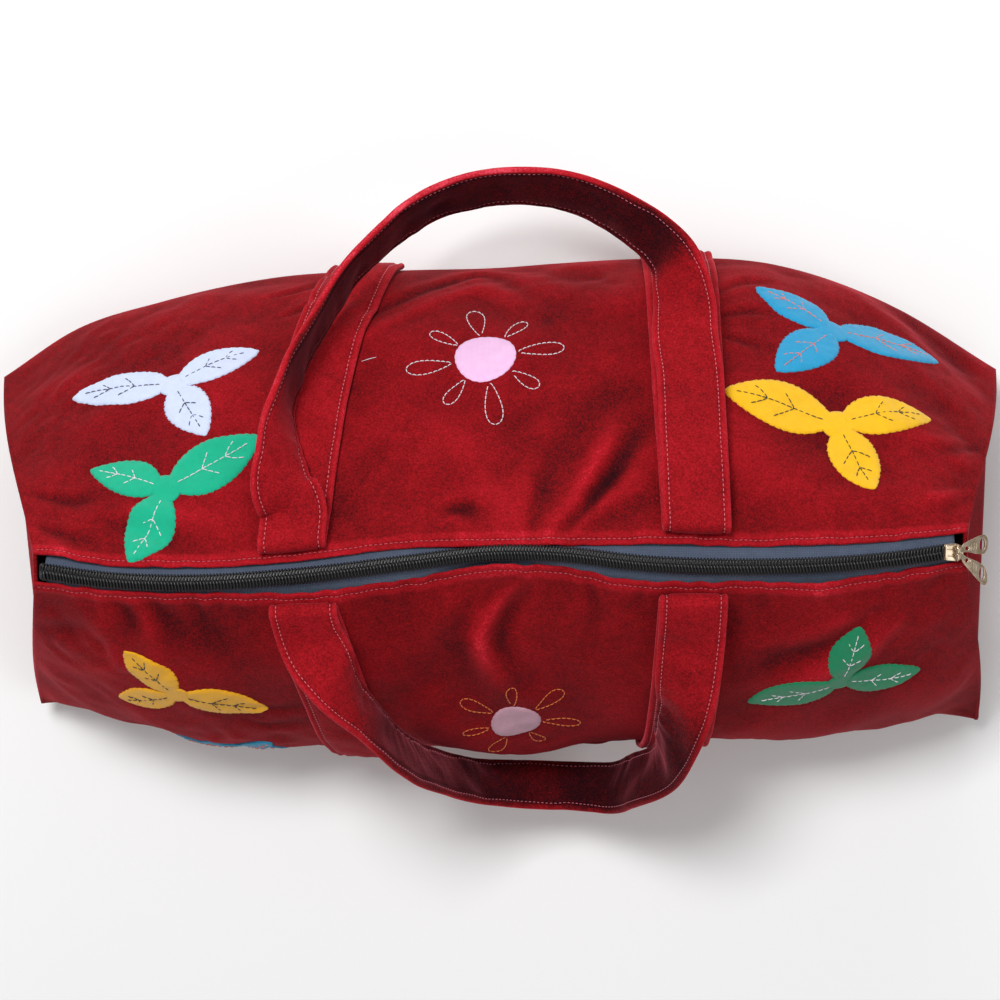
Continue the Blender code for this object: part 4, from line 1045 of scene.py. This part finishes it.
@dataclass(frozen=True)
class Metalwork:
    """Zip slider with its bail, and the two pull tabs that hang from the bail. Lengths are
    metres in the slider's own frame: x along the zip, from the slider's back edge."""

    at: float = 0.2870
    long: float = 0.0125
    wide: float = 0.0112
    high: float = 0.0042
    bail_x: float = 0.0075
    bail_rise: float = 0.0027
    bail_bend: float = 0.0010
    bail_bar: float = 0.0015
    droop: float = 14.0
    pull_long: float = 0.0235
    pull_thick: float = 0.0012
    pull_root: float = 0.0034
    pull_end: float = 0.0128
    eye: float = 0.0019

    def placed(self, points: Array) -> Array:
        """Points of a level slider set on the zip line with its tilt."""
        half = SHAPE.zip_length / 2
        y, z = SHAPE.zip_line(np.array([self.at, self.at + self.long]) / half)
        tilt = math.atan2(z[1] - z[0], self.long)
        c, s = math.cos(tilt), math.sin(tilt)
        px, py, pz = np.moveaxis(np.asarray(points, float), -1, 0)
        return np.stack([self.at + px * c - pz * s, y[0] + py, z[0] + px * s + pz * c], -1)

    def drooped(self, points: Array) -> Array:
        """Points of a pull, drawn flat around the bail's bar, hung from the placed slider."""
        c, s = math.cos(math.radians(self.droop)), math.sin(math.radians(self.droop))
        px, py, pz = np.moveaxis(np.asarray(points, float), -1, 0)
        top = self.high - SHAPE.coil_height / 2 + self.bail_rise
        return self.placed(np.stack([px * c + pz * s + self.bail_x, py, pz * c - px * s + top], -1))

    def plate(self, mesh: Mesh, loops: Sequence[Array], low: float, high: float, edge: float,
              place: Callable[[Array], Array]) -> None:
        """Plate with holes, its edges rounded as quarter circles.

        Args:
            mesh: the mesh it is added to.
            loops: outline drawn anticlockwise, then the holes drawn clockwise.
            low: height of its underside.
            high: height of its top.
            edge: radius of the edges.
            place: sets its points on the bag.
        """
        turn = np.radians([0, 30, 60, 90, 90, 120, 150, 180])
        level = np.repeat([high - edge, low + edge], 4) + edge * np.cos(turn)
        points, faces, top, start = [], [], [], 0
        ids: List[int] = []
        for loop in loops:
            count = len(loop)
            tangent = unit(np.roll(loop, -1, 0) - np.roll(loop, 1, 0))
            away = np.stack([tangent[:, 1], -tangent[:, 0]], -1)
            rings = loop[None] + away[None] * (edge * (np.sin(turn) - 1))[:, None, None]
            lifted = np.broadcast_to(level[:, None, None], (8, count, 1))
            points.append(np.concatenate([rings, lifted], -1).reshape(-1, 3))
            faces.append(grid_quads(8, count, wrap=True, start=start))
            top.append([Vector((x, y, 0.0)) for x, y in rings[0]])
            ids += [start + k for k in range(count)]
            start += 8 * count
        flat = np.concatenate(points)
        sizes = np.repeat([len(loop) for loop in loops], [len(loop) for loop in loops])
        first = np.array(ids)
        last = first + 7 * sizes
        cover = np.array(tessellate_polygon(top))
        a, b, c = (flat[first[cover[:, k]], :2] for k in range(3))
        under = np.cross(b - a, c - a) < 0
        cover[under] = cover[under][:, ::-1]
        faces += [first[cover], last[cover][:, ::-1]]
        mesh.shell(place(flat), faces)

    def bar(self, mesh: Mesh, path: Array, aside: Array, radius: float,
            place: Callable[[Array], Array]) -> None:
        """Round bar along a path whose every step is square to one direction."""
        ahead = unit(np.gradient(path, axis=0))
        turn = np.radians(np.arange(0, 360, 30))[None, :, None]
        across = np.cross(ahead, aside)[:, None]
        rings = path[:, None] + radius * (np.cos(turn) * aside + np.sin(turn) * across)
        mesh.shell(place(rings), ring_faces(*rings.shape[:2]))

    def slider(self, finishes: Finishes) -> None:
        """Two plates joined by a core, a bail, and pressed ridges on the upper plate."""
        mesh = Mesh("zip_slider_plated")
        low, high = -SHAPE.coil_height / 2, self.high - SHAPE.coil_height / 2
        x = self.long * (0.5 - 0.5 * np.cos(np.linspace(0, math.pi, 24)))
        widths = np.interp(x / self.long, [0, 0.54, 0.66, 1], [0.92, 1.0, 1.0, 0.66])
        half = 0.5 * self.wide * widths
        near = np.clip(x / 0.0016, 0, 1)
        far = np.clip((self.long - x) / 0.0024, 0, 1)
        half = half * (0.55 + 0.45 * np.sqrt(1 - (1 - near) ** 2))
        half = half * (0.45 + 0.55 * np.sqrt(1 - (1 - far) ** 2))
        outline = np.concatenate([np.stack([x, -half], -1), np.stack([x, half], -1)[::-1]])
        middle = outline.mean(axis=0)
        self.plate(mesh, [outline], high - 0.0013, high, 0.0004, self.placed)
        self.plate(mesh, [outline], low, low + 0.0013, 0.0004, self.placed)
        core = middle + (outline - middle) * 0.86
        self.plate(mesh, [core], low + 0.0010, high - 0.0010, 0.0001, self.placed)
        reach = self.wide / 2 - 0.0001 - self.bail_bar / 2
        top = high + self.bail_rise
        corner = np.radians(np.arange(0, 91, 15))
        left = np.stack([-(reach - self.bail_bend) - self.bail_bend * np.cos(corner),
                         top - self.bail_bend + self.bail_bend * np.sin(corner)], -1)
        foot = np.array([[-reach, high - 0.0008], [-reach, high + 0.0004]])
        line = np.concatenate([foot, left])
        line = np.concatenate([line, line[::-1] * [-1, 1]])
        path = np.concatenate([np.full((len(line), 1), self.bail_x), line], 1)
        self.bar(mesh, path, np.array([1.0, 0.0, 0.0]), self.bail_bar / 2, self.placed)
        for across in (-0.0022, 0.0022):
            run = np.linspace(0.0012, 0.0058, 8)
            rise = 0.0001 * np.sin(np.linspace(0, math.pi, 8))
            ridge = np.stack([run, np.full(8, across), high - 0.0001 + rise], -1)
            self.bar(mesh, ridge, np.array([0.0, 1.0, 0.0]), 0.00035, self.placed)
        mesh.make(finishes.nickel, "bag", "zip_slider", slot="nickel")

    def pull(self, finishes: Finishes, node_name: str, sideways: float, splay: float) -> None:
        """One pull tab: an eye around the bail and a plate with a round and an oval hole,
        pressed ridges between them and a raised rim round its end."""
        mesh = Mesh(node_name + "_plated")
        half, thick, lean = self.pull_root / 2, self.pull_thick / 2, math.tan(math.radians(splay))
        neck = self.eye + 0.0009
        grow = self.pull_end / 2 - half
        knots = np.array([0.0012, neck, 0.0035, 0.0075, 0.0140, 0.0195])
        runs = np.linspace(knots[0], knots[-1], 26)
        wide = half + grow * np.interp(runs, knots, [0.0, 0.0, 0.38, 0.62, 0.90, 1.0])
        near = half + grow * np.interp(runs, knots, [0.0, 0.0, 0.0, 0.15, 0.70, 1.0])
        upper, lower = (near, wide) if sideways < 0 else (wide, near)
        drift = lean * np.maximum(runs - neck, 0)
        tip = np.radians(np.linspace(78, -78, 15))
        end_x = runs[-1] + (self.pull_long - runs[-1]) * np.cos(tip)
        end_y = drift[-1] + lean * (end_x - runs[-1]) + wide[-1] * np.sin(tip)
        end = np.stack([end_x, end_y], -1)[::-1]
        outline = np.concatenate([np.stack([runs, drift - lower], -1), end,
                                  np.stack([runs, drift + upper], -1)[::-1]])
        turn = -np.radians(np.arange(0, 360, 15))
        eye, slot = (
            np.array([at, lean * (at - neck)]) + np.stack([a * np.cos(turn), b * np.sin(turn)], -1)
            for at, a, b in ((0.0068, 0.0013, 0.0013), (self.pull_long - 0.0048, 0.0021, 0.0042)))

        def place(points: Array) -> Array:
            """Sets the pull's points beside the bail's middle."""
            return self.drooped(points + np.array([0.0, sideways, 0.0]))

        self.plate(mesh, [outline, eye, slot], -thick, thick, 0.00032, place)
        for run in (0.0098, 0.0118, 0.0138):
            reach = 0.55 * (half + grow * 0.6)
            y = np.linspace(-reach, reach, 9)
            ridge = np.stack([np.full(9, run) + 0.0003 * np.cos(y / reach * 1.5),
                              lean * (run - neck) + y,
                              thick - 0.00025 + 0.0003 * np.cos(y / reach * 1.5)], -1)
            self.bar(mesh, ridge, np.array([1.0, 0.0, 0.0]), 0.00032, place)
        around = np.radians(np.arange(0, 361, 15))
        bead = np.radians(np.arange(0, 360, 22.5))
        ring_r = 0.5 * (self.eye + self.bail_bar * 0.84)
        ring_t = 0.5 * (self.eye - self.bail_bar * 0.84)
        radial = ring_r + ring_t * np.sign(np.cos(bead)) * np.abs(np.cos(bead)) ** 0.6
        side = half * np.sign(np.sin(bead)) * np.abs(np.sin(bead)) ** 0.35
        rings = np.stack([np.cos(around)[:, None] * radial[None],
                          np.broadcast_to(side, (len(around), len(bead))),
                          np.sin(around)[:, None] * radial[None]], -1)
        mesh.shell(place(rings), ring_faces(*rings.shape[:2]))
        mesh.make(finishes.nickel, node_name, node_name, slot="nickel")

    def build(self, finishes: Finishes) -> None:
        """Makes the slider and both pulls."""
        self.slider(finishes)
        self.pull(finishes, "pull_front", -0.0020, -38.0)
        self.pull(finishes, "pull_back", 0.0020, 9.0)


# ---------------------------------------------------------------- handles


@dataclass
class Strap:
    """A carrying handle: a padded velvet tube, stitched along both edges, sewn up a panel,
    folded over beside the zip and fallen outwards in a loop."""

    side: Side
    legs: Tuple[str, str]
    table: Tuple
    width: float = 0.044
    thick: float = 0.0048
    lift: float = 0.0009
    fold_radius: float = 0.0038
    cross_points: int = 24
    stitch_inset: float = 0.0042

    def profile(self) -> Tuple[Array, Array]:
        """Closed cross-section: round rims, a groove at each row of stitches and a low crown."""
        w = -0.5 * np.cos(math.pi * np.arange(self.cross_points + 1) / self.cross_points)
        inset = (0.5 - np.abs(w)) * self.width
        rim = np.sqrt(1 - (1 - np.clip(inset / 0.0022, 0, 1)) ** 2)
        groove = 1 - 0.50 * np.exp(-((inset - self.stitch_inset) / 0.0012) ** 2)
        h = 0.5 * rim * groove * (1 + 0.20 * (1 - (2 * w) ** 2))
        return np.concatenate([w, w[-2:0:-1]]), np.concatenate([h, -h[-2:0:-1]])

    def leg(self, name: str, way: int) -> Array:
        """Rings of the sewn leg from the base seam up to the fold."""
        side, places = LEGS[name]
        down = np.linspace(LEG_STEPS[0] - 0.012, LEG_STEPS[-1], 110)
        middle = curve_through(-down, [-s for s in LEG_STEPS], places)[:, None]
        w, h = self.profile()
        along = middle + way * w[None] * self.width / (SHAPE.zip_length / 2)
        low = np.broadcast_to(down[:, None], along.shape)
        normal = SHAPE.plain_normal(side, along, low)
        puff = Waves(61 + way * side, 18, 0.012, 0.045)(along * 0.3, low * 0.3)
        puff = 0.00030 * (puff + 0.6) * (0.5 - h) * (1 - (2 * w) ** 4)
        height = self.lift + (0.5 - h) * self.thick + puff
        return SHAPE.panel(side, along, low) + normal * height[..., None]

    def fold(self, top: Array) -> Array:
        """Half turn of the strap over the top of a leg: the last ring's profile carried round a
        half circle."""
        count = self.cross_points
        w, h = self.profile()
        high, low = top[count + count // 2], top[count // 2]
        normal = unit(high - low)
        edge = unit(top[count] - top[0])
        upward = unit(np.cross(edge, normal))
        upward = upward * np.sign(upward[2])
        middle = high - normal * self.thick / 2
        centre = middle + normal * self.fold_radius
        rings = []
        for turn in np.radians(np.arange(15, 166, 15)):
            away = upward * math.sin(turn) - normal * math.cos(turn)
            rings.append(centre + away * self.fold_radius + edge * (w * self.width)[:, None]
                         + away * (h * self.thick)[:, None])
        return np.array(rings)

    def free_path(self) -> Tuple[Array, Array]:
        """Path and roll of the free loop from one fold to the other, through the stations."""
        side = self.side.value
        high = self.lift + self.thick / 2 + 2 * self.fold_radius
        lead, flat = [], []
        for leg, way in zip(self.legs, (1, -1)):
            down, spring = np.array(LEADS[leg]).T
            middle = curve_through(-down, [-s for s in LEG_STEPS], LEGS[leg][1])
            normal = SHAPE.plain_normal(side, middle, down)
            fold = SHAPE.soft_folds(side, middle, down)[:, None] * normal
            place = SHAPE.plain_panel(side, middle, down) + fold
            lead.append(place + normal * (high + spring[:, None]))
            tangent = unit(way * np.gradient(lead[-1], axis=0))
            level = unit(np.cross(tangent, np.array([0.0, 0.0, 1.0])))
            upright = np.sum(normal * np.cross(level, tangent), -1)
            flat.append(np.degrees(np.arctan2(-np.sum(normal * level, -1), upright)))
        rows = np.array(self.table)
        scale = np.array([SHAPE.zip_length / 2, side * SHAPE.half_depth, SHAPE.height])
        points = np.concatenate([lead[0], rows[:, :3] * scale, lead[1][::-1]])
        roll = np.concatenate([flat[0], rows[:, 3] * -side, flat[1][::-1]])
        steps = np.append(0, np.cumsum(np.linalg.norm(np.diff(points, axis=0), axis=1)))
        at = np.linspace(0, steps[-1], 289)[6:-6]
        return curve_through(at, steps, points), curve_through(at, steps, roll)

    def loop(self) -> Array:
        """Rings of the free loop: the profile carried along the path, with gathers along its
        inner edge and soft crumples."""
        path, roll = self.free_path()
        tangent = unit(np.gradient(path, axis=0))
        level = unit(np.cross(tangent, np.array([0.0, 0.0, 1.0])))
        rise = np.cross(level, tangent)
        roll = np.radians(roll)[:, None]
        width = np.cos(roll) * level + np.sin(roll) * rise
        thick = np.cross(width, tangent)
        w, h = self.profile()
        run = np.append(0, np.cumsum(np.linalg.norm(np.diff(path, axis=0), axis=1)))
        outward = np.array([0.0, float(self.side.value), 0.0])
        inner = -np.sign(np.sum(width[len(width) // 2] * outward))
        share = 0.5 + inner * w[None]
        ends = np.clip(np.minimum(run, run[-1] - run) / 0.05, 0, 1)[:, None]
        seed = 71 if self.side is Side.BACK else 83
        across = (w * self.width)[None]
        gather = Waves(seed, 20, 0.007, 0.016)(run[:, None], 0.12 * across) * share**1.5
        crumple = Waves(seed + 1, 18, 0.020, 0.060)(run[:, None], across)
        thin = 1 - (2 * np.abs(w[None])) ** 6
        shift = MM * ends * (0.45 * gather * thin * np.sign(h)[None] + 0.95 * crumple * thin)
        rings = path[:, None] + width[:, None] * (w * self.width)[None, :, None]
        rings = rings + thick[:, None] * ((h * self.thick)[None] + shift)[..., None]
        return rings

    def shade(self, rings: Array, h: Array) -> Array:
        """Painted light of the free loop: painted shade on its inner face, and a painted highlight
        along the edge that stands up."""
        count = self.cross_points
        middle = rings.mean(axis=1)
        side = self.side.value
        across = unit(rings[:, count // 2] - rings[:, 2 * count - count // 2])
        heart = np.array([0.0, side * 0.10, 0.0])
        inward = unit((heart - middle) * np.array([1.0, 1.0, 0.0]))
        faced = np.sum(across * inward, axis=-1)
        upright = np.clip((np.abs(faced) - 0.42) / 0.30, 0, 1)
        free = np.clip((middle[:, 1] * side - 0.085) / 0.04, 0, 1)
        # painted shade on the inner face
        inside = 0.5 + 0.5 * np.sign(faced)[:, None] * np.sign(h)[None]
        inside = (upright * free)[:, None] * inside
        rise = (rings[..., 2] - middle[:, None, 2]) / (0.5 * self.width)
        # painted highlight on the edge that stands up
        rim = np.clip((rise - 0.80) / 0.12, 0, 1) * (upright * free)[:, None]
        return np.clip(rim * 1.1, 0, 1) - 0.95 * inside * (1 - rim)

    def build(self, finishes: Finishes) -> None:
        """Makes the strap and its four rows of stitches."""
        side = self.side.value
        first, last = self.leg(self.legs[0], side), self.leg(self.legs[1], -side)
        rings = np.concatenate([first, self.fold(first[-1]), self.loop(),
                                self.fold(last[-1])[::-1], last[::-1]])
        middle = rings.mean(axis=1)
        run = np.append(0, np.cumsum(np.linalg.norm(np.diff(middle, axis=0), axis=1)))
        w, h = self.profile()
        uv = np.stack(np.broadcast_arrays(run[:, None], (w * self.width)[None]), -1) / MM
        inset = (0.5 - np.abs(w)) * self.width
        # painted highlight along both edges of the strap and painted shade in the stitch grooves,
        # then the loop's painted shade and highlight
        painted_light = 0.55 * np.exp(-(inset / 0.0026) ** 2)
        painted_light = painted_light - 0.20 * np.exp(-((inset - self.stitch_inset) / 0.0012) ** 2)
        painted_light = painted_light[None] + self.shade(rings, h)
        name = self.side.name.lower()
        mesh = Mesh("handle_velvet_" + name)
        tube(mesh, rings, uv, painted_light)
        item = mesh.make(finishes.strap, "bag", "handle_" + name, slot="velvet_strap")
        thread = Mesh("handle_stitches_" + name)
        count = self.cross_points
        near = int(np.argmin(np.abs(inset[: count // 2] - self.stitch_inset)))
        for k in (near, count - near, count + near, 2 * count - near):
            other = (2 * count - k) % (2 * count)
            normal = unit(rings[:, k] - rings[:, other])
            stitch_row(thread, rings[:, k], normal, 3.3 * MM, 2.3 * MM, 0.27 * MM, start=0.004)
        thread.make(finishes.pale_thread, "bag")


# ---------------------------------------------------------------- sewn cloth pieces


def laid(side: int, place: Tuple[float, float], turn: float, flat: Array) -> Tuple[Array, Array]:
    """Flat drawing (metres) turned and laid on a panel around a place.

    Returns:
        Points on the panel and the panel's normals there.
    """
    spot = turned(flat, turn)
    along = place[0] + spot[..., 0] / (SHAPE.zip_length / 2 * SHAPE.patch_growth)
    down = place[1] + spot[..., 1] / SHAPE.panel_slant
    return SHAPE.panel(side, along, down), SHAPE.plain_normal(side, along, down)


@dataclass
class Sprig:
    """Three cotton leaves and a hub cut from one cloth, sewn down round the edge, with stitched
    ribs in another thread."""

    cloth: str
    side: int
    place: Tuple[float, float]
    turn: float
    size: float
    thread: str
    lift: float = 0.0008
    thick: float = 0.0010
    leaves: Tuple = ((0, 0.60, 0.120), (128, 0.46, 0.100), (222, 0.50, 0.105))

    def reach(self) -> float:
        """The sprig's size in metres."""
        return self.size * SHAPE.height

    def outline(self, u: Array, length: float, half: float) -> Array:
        """Half width of a leaf at u along it: a skewed half sine, nicked where stitches pull."""
        size = self.reach()
        wide = 0.030 * (1 - u) + half * np.sin(math.pi * u**0.85) ** 0.8 + 0.006
        nick = 0.0008 * np.abs(np.sin(math.pi * u * length * size / 0.0052)) ** 0.7 - 0.0004
        return size * wide * np.clip((1.02 - u) / 0.06, 0, 1) ** 0.5 + nick

    def leaf(self, mesh: Mesh, seed: int, number: int, u: Array, run: Array, wide: Array,
             bend: Array) -> None:
        """Cloth of one leaf: a thin puffed sheet, thinner at its sewn edge.

        Args:
            mesh: the mesh it is added to.
            seed: seed of its ripple.
            number: which leaf it is.
            u: places along the leaf, 0 to 1.
            run: distances from the hub.
            wide: half widths.
            bend: sideways places of the middle line.
        """
        turn, length, _ = self.leaves[number]
        v = np.sin(0.5 * math.pi * np.linspace(-1, 1, 19))
        x = np.broadcast_to(run[:, None], (len(u), len(v)))
        y = wide[:, None] * v[None] + bend[:, None]
        flat = turned(np.stack([x, y], -1), turn)
        point, normal = laid(self.side, self.place, self.turn, flat)
        inset = (1 - np.abs(v))[None] * wide[:, None]
        inset = np.minimum(inset, (length * self.reach() - run)[:, None] + 0.0003)
        puff = 1 - np.exp(-np.maximum(inset, 0) / 0.0011)
        ripple = Waves(seed + number, 14, 0.006, 0.020)(x, y) * 0.00022
        high = self.lift * 0.25 + self.thick * 1.25 * puff + ripple * puff + 0.00006 * number
        low = point + normal * (self.lift * 0.25 - 0.0004)
        slab(mesh, point + normal * high[..., None], low, flat / MM, bulge=0.0)

    def ribs(self, thread: Mesh, number: int, u: Array, wide: Array, bend: Array) -> None:
        """Stitched middle line and four side ribs of one leaf."""
        turn, length, _ = self.leaves[number]

        def run(share: Array) -> Array:
            """Distance from the hub at a share of the leaf's length."""
            return self.reach() * (0.045 + (length - 0.045) * share)

        share = np.linspace(0.06, 0.90, 60)
        lines = [np.stack([run(share), np.interp(share, u, bend)], -1)]
        t = np.linspace(0, 1, 16)
        for way in (-1, 1):
            for at in (0.34, 0.60):
                share = at + 0.16 * t
                aside = way * t**0.9 * np.interp(share, u, wide) * 0.62
                lines.append(np.stack([run(share), np.interp(share, u, bend) + aside], -1))
        for line in lines:
            on, up = laid(self.side, self.place, self.turn, turned(line, turn))
            stitch_row(thread, on + up * (self.lift * 0.25 + self.thick * 1.3), up,
                       4.4 * MM, 4.0 * MM, 0.36 * MM)

    def whips(self, edge: Mesh, number: int, run: Array, wide: Array, bend: Array) -> None:
        """Short stitches over both edges of one leaf."""
        turn = self.leaves[number][0]
        for way in (-1, 1):
            rim = way * wide + bend
            for k in range(2, 62, 3):
                outside = np.array([run[k], rim[k] + way * 0.0005])
                inside = np.array([run[k] - 0.0004, rim[k] - way * 0.0017])
                drawn = turned(np.linspace(outside, inside, 4), turn)
                on, up = laid(self.side, self.place, self.turn, drawn)
                stitch_row(edge, on + up * np.linspace(0.0002, 0.0012, 4)[:, None], up,
                           0.01, 0.0019, 0.22 * MM)

    def hub(self, mesh: Mesh) -> None:
        """Domed disc where the leaves meet."""
        r = np.linspace(1, 0.03, 7)
        t = np.linspace(0, 2 * math.pi, 41)[:-1]
        rr, tt = np.meshgrid(r, t, indexing="ij")
        flat = self.reach() * 0.085 * rr[..., None] * np.stack([np.cos(tt), np.sin(tt)], -1)
        point, normal = laid(self.side, self.place, self.turn, flat)
        dome = (self.thick * (1.35 - 0.5 * rr**4) + self.lift * 0.25)[..., None]
        low = point[:1] + normal[:1] * 0.0001
        tube(mesh, np.concatenate([low, point + normal * dome]),
             np.concatenate([flat[:1], flat]) / MM)

    def build(self, finishes: Finishes) -> None:
        """Makes the cloth, its stitched ribs and the stitches round its edge."""
        mesh = Mesh("cotton_sprig_" + self.cloth)
        thread = Mesh("sprig_ribs_" + self.cloth)
        edge = Mesh("sprig_edge_stitches_" + self.cloth)
        seed = sum(map(ord, self.cloth))
        u = np.linspace(0, 1, 64)
        for number, (_, length, half) in enumerate(self.leaves):
            run = self.reach() * (0.045 + (length - 0.045) * u)
            wide = self.outline(u, length, half)
            bend = 0.05 * self.reach() * math.sin(2.1 * number + 0.6) * u**2
            self.leaf(mesh, seed, number, u, run, wide, bend)
            self.ribs(thread, number, u, wide, bend)
            self.whips(edge, number, run, wide, bend)
        self.hub(mesh)
        mesh.make(finishes.cotton[self.cloth], "bag", "patch_" + self.cloth,
                  slot="felt_" + self.cloth)
        thread.make(finishes.threads[self.thread], "bag")
        edge.make(finishes.cotton[self.cloth], "bag")


@dataclass
class Flower:
    """Round cotton patch with loops of embroidered petals around it."""

    cloth: str
    side: int
    place: Tuple[float, float]
    radius: float
    thread: str
    petals: int
    reach: Tuple[float, float]
    lift: float = 0.0008
    thick: float = 0.0010

    def build(self, finishes: Finishes) -> None:
        """Makes the disc and its petals."""
        t = np.linspace(0, 2 * math.pi, 97)[:-1]
        r = np.array([1.0, 0.985, 0.95, 0.90, 0.80, 0.65, 0.45, 0.25, 0.03])
        rr, tt = np.meshgrid(r, t, indexing="ij")
        nick = 1 + 0.018 * np.abs(np.sin(12 * tt)) * rr**6 + 0.03 * np.sin(3 * tt + 0.7) * rr**3
        flat = self.radius * (rr * nick)[..., None] * np.stack([np.cos(tt), np.sin(tt)], -1)
        point, normal = laid(self.side, self.place, 0.0, flat)
        inset = (1 - rr) * self.radius
        ripple = Waves(sum(map(ord, self.cloth)), 12, 0.006, 0.018)(flat[..., 0], flat[..., 1])
        puff = 1 - np.exp(-inset / 0.0011)
        high = self.lift * 0.25 + self.thick * 1.3 * puff + 0.00020 * ripple * puff
        rings = np.concatenate([point[:1] - normal[:1] * 0.0002, point + normal * high[..., None]])
        mesh = Mesh("cotton_disc_" + self.cloth)
        tube(mesh, rings, np.concatenate([flat[:1], flat]) / MM)
        mesh.make(finishes.cotton[self.cloth], "bag", "patch_" + self.cloth,
                  slot="felt_" + self.cloth)
        thread = Mesh("petal_stitches_" + self.cloth)
        for k in range(self.petals):
            turn = 2 * math.pi * (k + 0.18) / self.petals
            length = self.reach[k % 2]
            s = np.linspace(0, 2 * math.pi, 60)
            along = self.radius * 1.12 + length * (0.5 - 0.5 * np.cos(s))
            aside = 0.26 * length * np.sin(s) * (0.35 + 0.65 * (0.5 - 0.5 * np.cos(s)))
            x = along * math.cos(turn) - aside * math.sin(turn)
            y = along * math.sin(turn) + aside * math.cos(turn)
            on, up = laid(self.side, self.place, 0.0, np.stack([x, y], -1))
            stitch_row(thread, on, up, 3.6 * MM, 3.4 * MM, 0.34 * MM, rise=0.0003)
        thread.make(finishes.threads[self.thread], "bag")


SPRIGS = (
    Sprig("white", 1, (-0.655, 0.52), 160, 0.50, "dark"),
    Sprig("green", 1, (-0.690, 0.20), 22, 0.52, "white"),
    Sprig("blue", 1, (0.665, 0.66), 20, 0.54, "coral"),
    Sprig("yellow", 1, (0.690, 0.34), 168, 0.56, "dark"),
    Sprig("gold", -1, (-0.690, 0.36), 14, 0.46, "dark"),
    Sprig("teal", -1, (0.705, 0.34), 158, 0.48, "white"),
    Sprig("sky", -1, (-0.560, 0.74), 172, 0.34, "coral"),
)
FLOWERS = (
    Flower("pink", 1, (-0.030, 0.50), 0.020, "white", 8, (0.030, 0.022)),
    Flower("mauve", -1, (0.020, 0.50), 0.017, "orange", 7, (0.026, 0.019)),
)


def loose_thread(finishes: Finishes) -> None:
    """A short end of white thread lying on the back panel."""
    turn = np.linspace(-0.5, 0.5, 16)
    flat = np.stack([0.0115 * turn, 0.0028 * turn + 0.0022 * turn**2], -1)
    on, up = laid(1, (-0.262, 0.520), 0.0, flat)
    thread = Mesh("loose_thread")
    stitch_row(thread, on, up, 1.0, 0.0112, 0.00022, rise=0.0006)
    thread.make(finishes.threads["white"], "bag")


# ---------------------------------------------------------------- stage


@dataclass
class Studio:
    """Pale floor, soft light and the camera over the bag."""

    tilt: float = 6.0
    place: Tuple[float, float, float] = (0.0, 0.20932, 1.82181)
    lens: float = 89.86
    half_floor: float = 6.0
    floor_drop: float = 0.0004
    ambient: float = 0.36

    def floor(self) -> None:
        """A large pale sheet under the bag."""
        made, tree, shader = new_material("matt_paper_white")
        place = node(tree, "ShaderNodeTexCoord").outputs["Object"]
        tooth = node(tree, "ShaderNodeTexNoise", {"Vector": place, "Scale": 400.0, "Detail": 3.0})
        bump = node(tree, "ShaderNodeBump", {"Height": tooth.outputs["Fac"], "Strength": 0.05,
                                             "Distance": 0.0002})
        tree.links.new(bump.outputs["Normal"], shader.inputs["Normal"])
        shader.inputs["Base Color"].default_value = linear("#FAFAFA")
        shader.inputs["Roughness"].default_value = 0.95
        shader.inputs["Specular IOR Level"].default_value = 0.1
        mesh = bpy.data.meshes.new("floor")
        size, low = self.half_floor, -self.floor_drop
        mesh.from_pydata([(-size, -size, low), (size, -size, low), (size, size, low),
                          (-size, size, low)], [], [(0, 1, 2, 3)])
        mesh.materials.append(made)
        item = bpy.data.objects.new("floor", mesh)
        bpy.context.scene.collection.objects.link(item)

    def lamp(self, name: str, at: Tuple[float, float, float], power: float, size: float) -> None:
        """Soft square lamp aimed at the bag."""
        data = bpy.data.lights.new(name, "AREA")
        data.energy, data.size = power, size
        item = bpy.data.objects.new(name, data)
        item.location = at
        aim = np.array([0.0, 0.02, 0.12]) - np.array(at)
        flat = math.hypot(aim[0], aim[1])
        spin = math.atan2(aim[1], aim[0]) - math.pi / 2
        item.rotation_euler = (math.atan2(flat, -aim[2]), 0.0, spin)
        bpy.context.scene.collection.objects.link(item)

    def build(self) -> None:
        """Makes the floor, lamps, surrounding light and camera."""
        self.floor()
        self.lamp("key", (-0.55, 1.05, 2.3), 44.0, 0.7)
        self.lamp("fill", (1.3, -0.5, 2.1), 8.0, 1.3)
        self.lamp("rim", (0.2, 2.2, 1.0), 7.0, 1.0)
        world = bpy.data.worlds.new("studio")
        world.use_nodes = True
        world.node_tree.nodes["Background"].inputs["Color"].default_value = (1.0, 1.0, 1.0, 1.0)
        world.node_tree.nodes["Background"].inputs["Strength"].default_value = self.ambient
        bpy.context.scene.world = world
        bpy.context.scene.view_settings.view_transform = "Standard"
        data = bpy.data.cameras.new("camera")
        data.lens, data.sensor_width = self.lens, 36.0
        data.clip_start, data.clip_end = 0.01, 20.0
        camera = bpy.data.objects.new("camera", data)
        camera.location = self.place
        camera.rotation_euler = (math.radians(-self.tilt), 0.0, 0.0)
        bpy.context.scene.collection.objects.link(camera)
        bpy.context.scene.camera = camera


def main() -> None:
    """Builds the bag piece by piece and reports each."""
    logging.basicConfig(level=logging.INFO, format="%(message)s")
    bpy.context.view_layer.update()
    Studio().build()
    finishes = Finishes()
    VelvetPanel(Side.BACK, "velvet_panel_back", "back_panel").build(finishes)
    VelvetPanel(Side.FRONT, "velvet_panel_front", "front_panel").build(finishes)
    Body().build(finishes)
    Zip().build(finishes)
    Metalwork().build(finishes)
    Strap(Side.BACK, ("back_left", "back_right"), BACK_LOOP).build(finishes)
    Strap(Side.FRONT, ("front_left", "front_right"), FRONT_LOOP).build(finishes)
    for sprig in SPRIGS:
        sprig.build(finishes)
    for flower in FLOWERS:
        flower.build(finishes)
    loose_thread(finishes)


if __name__ == "__main__":
    main()
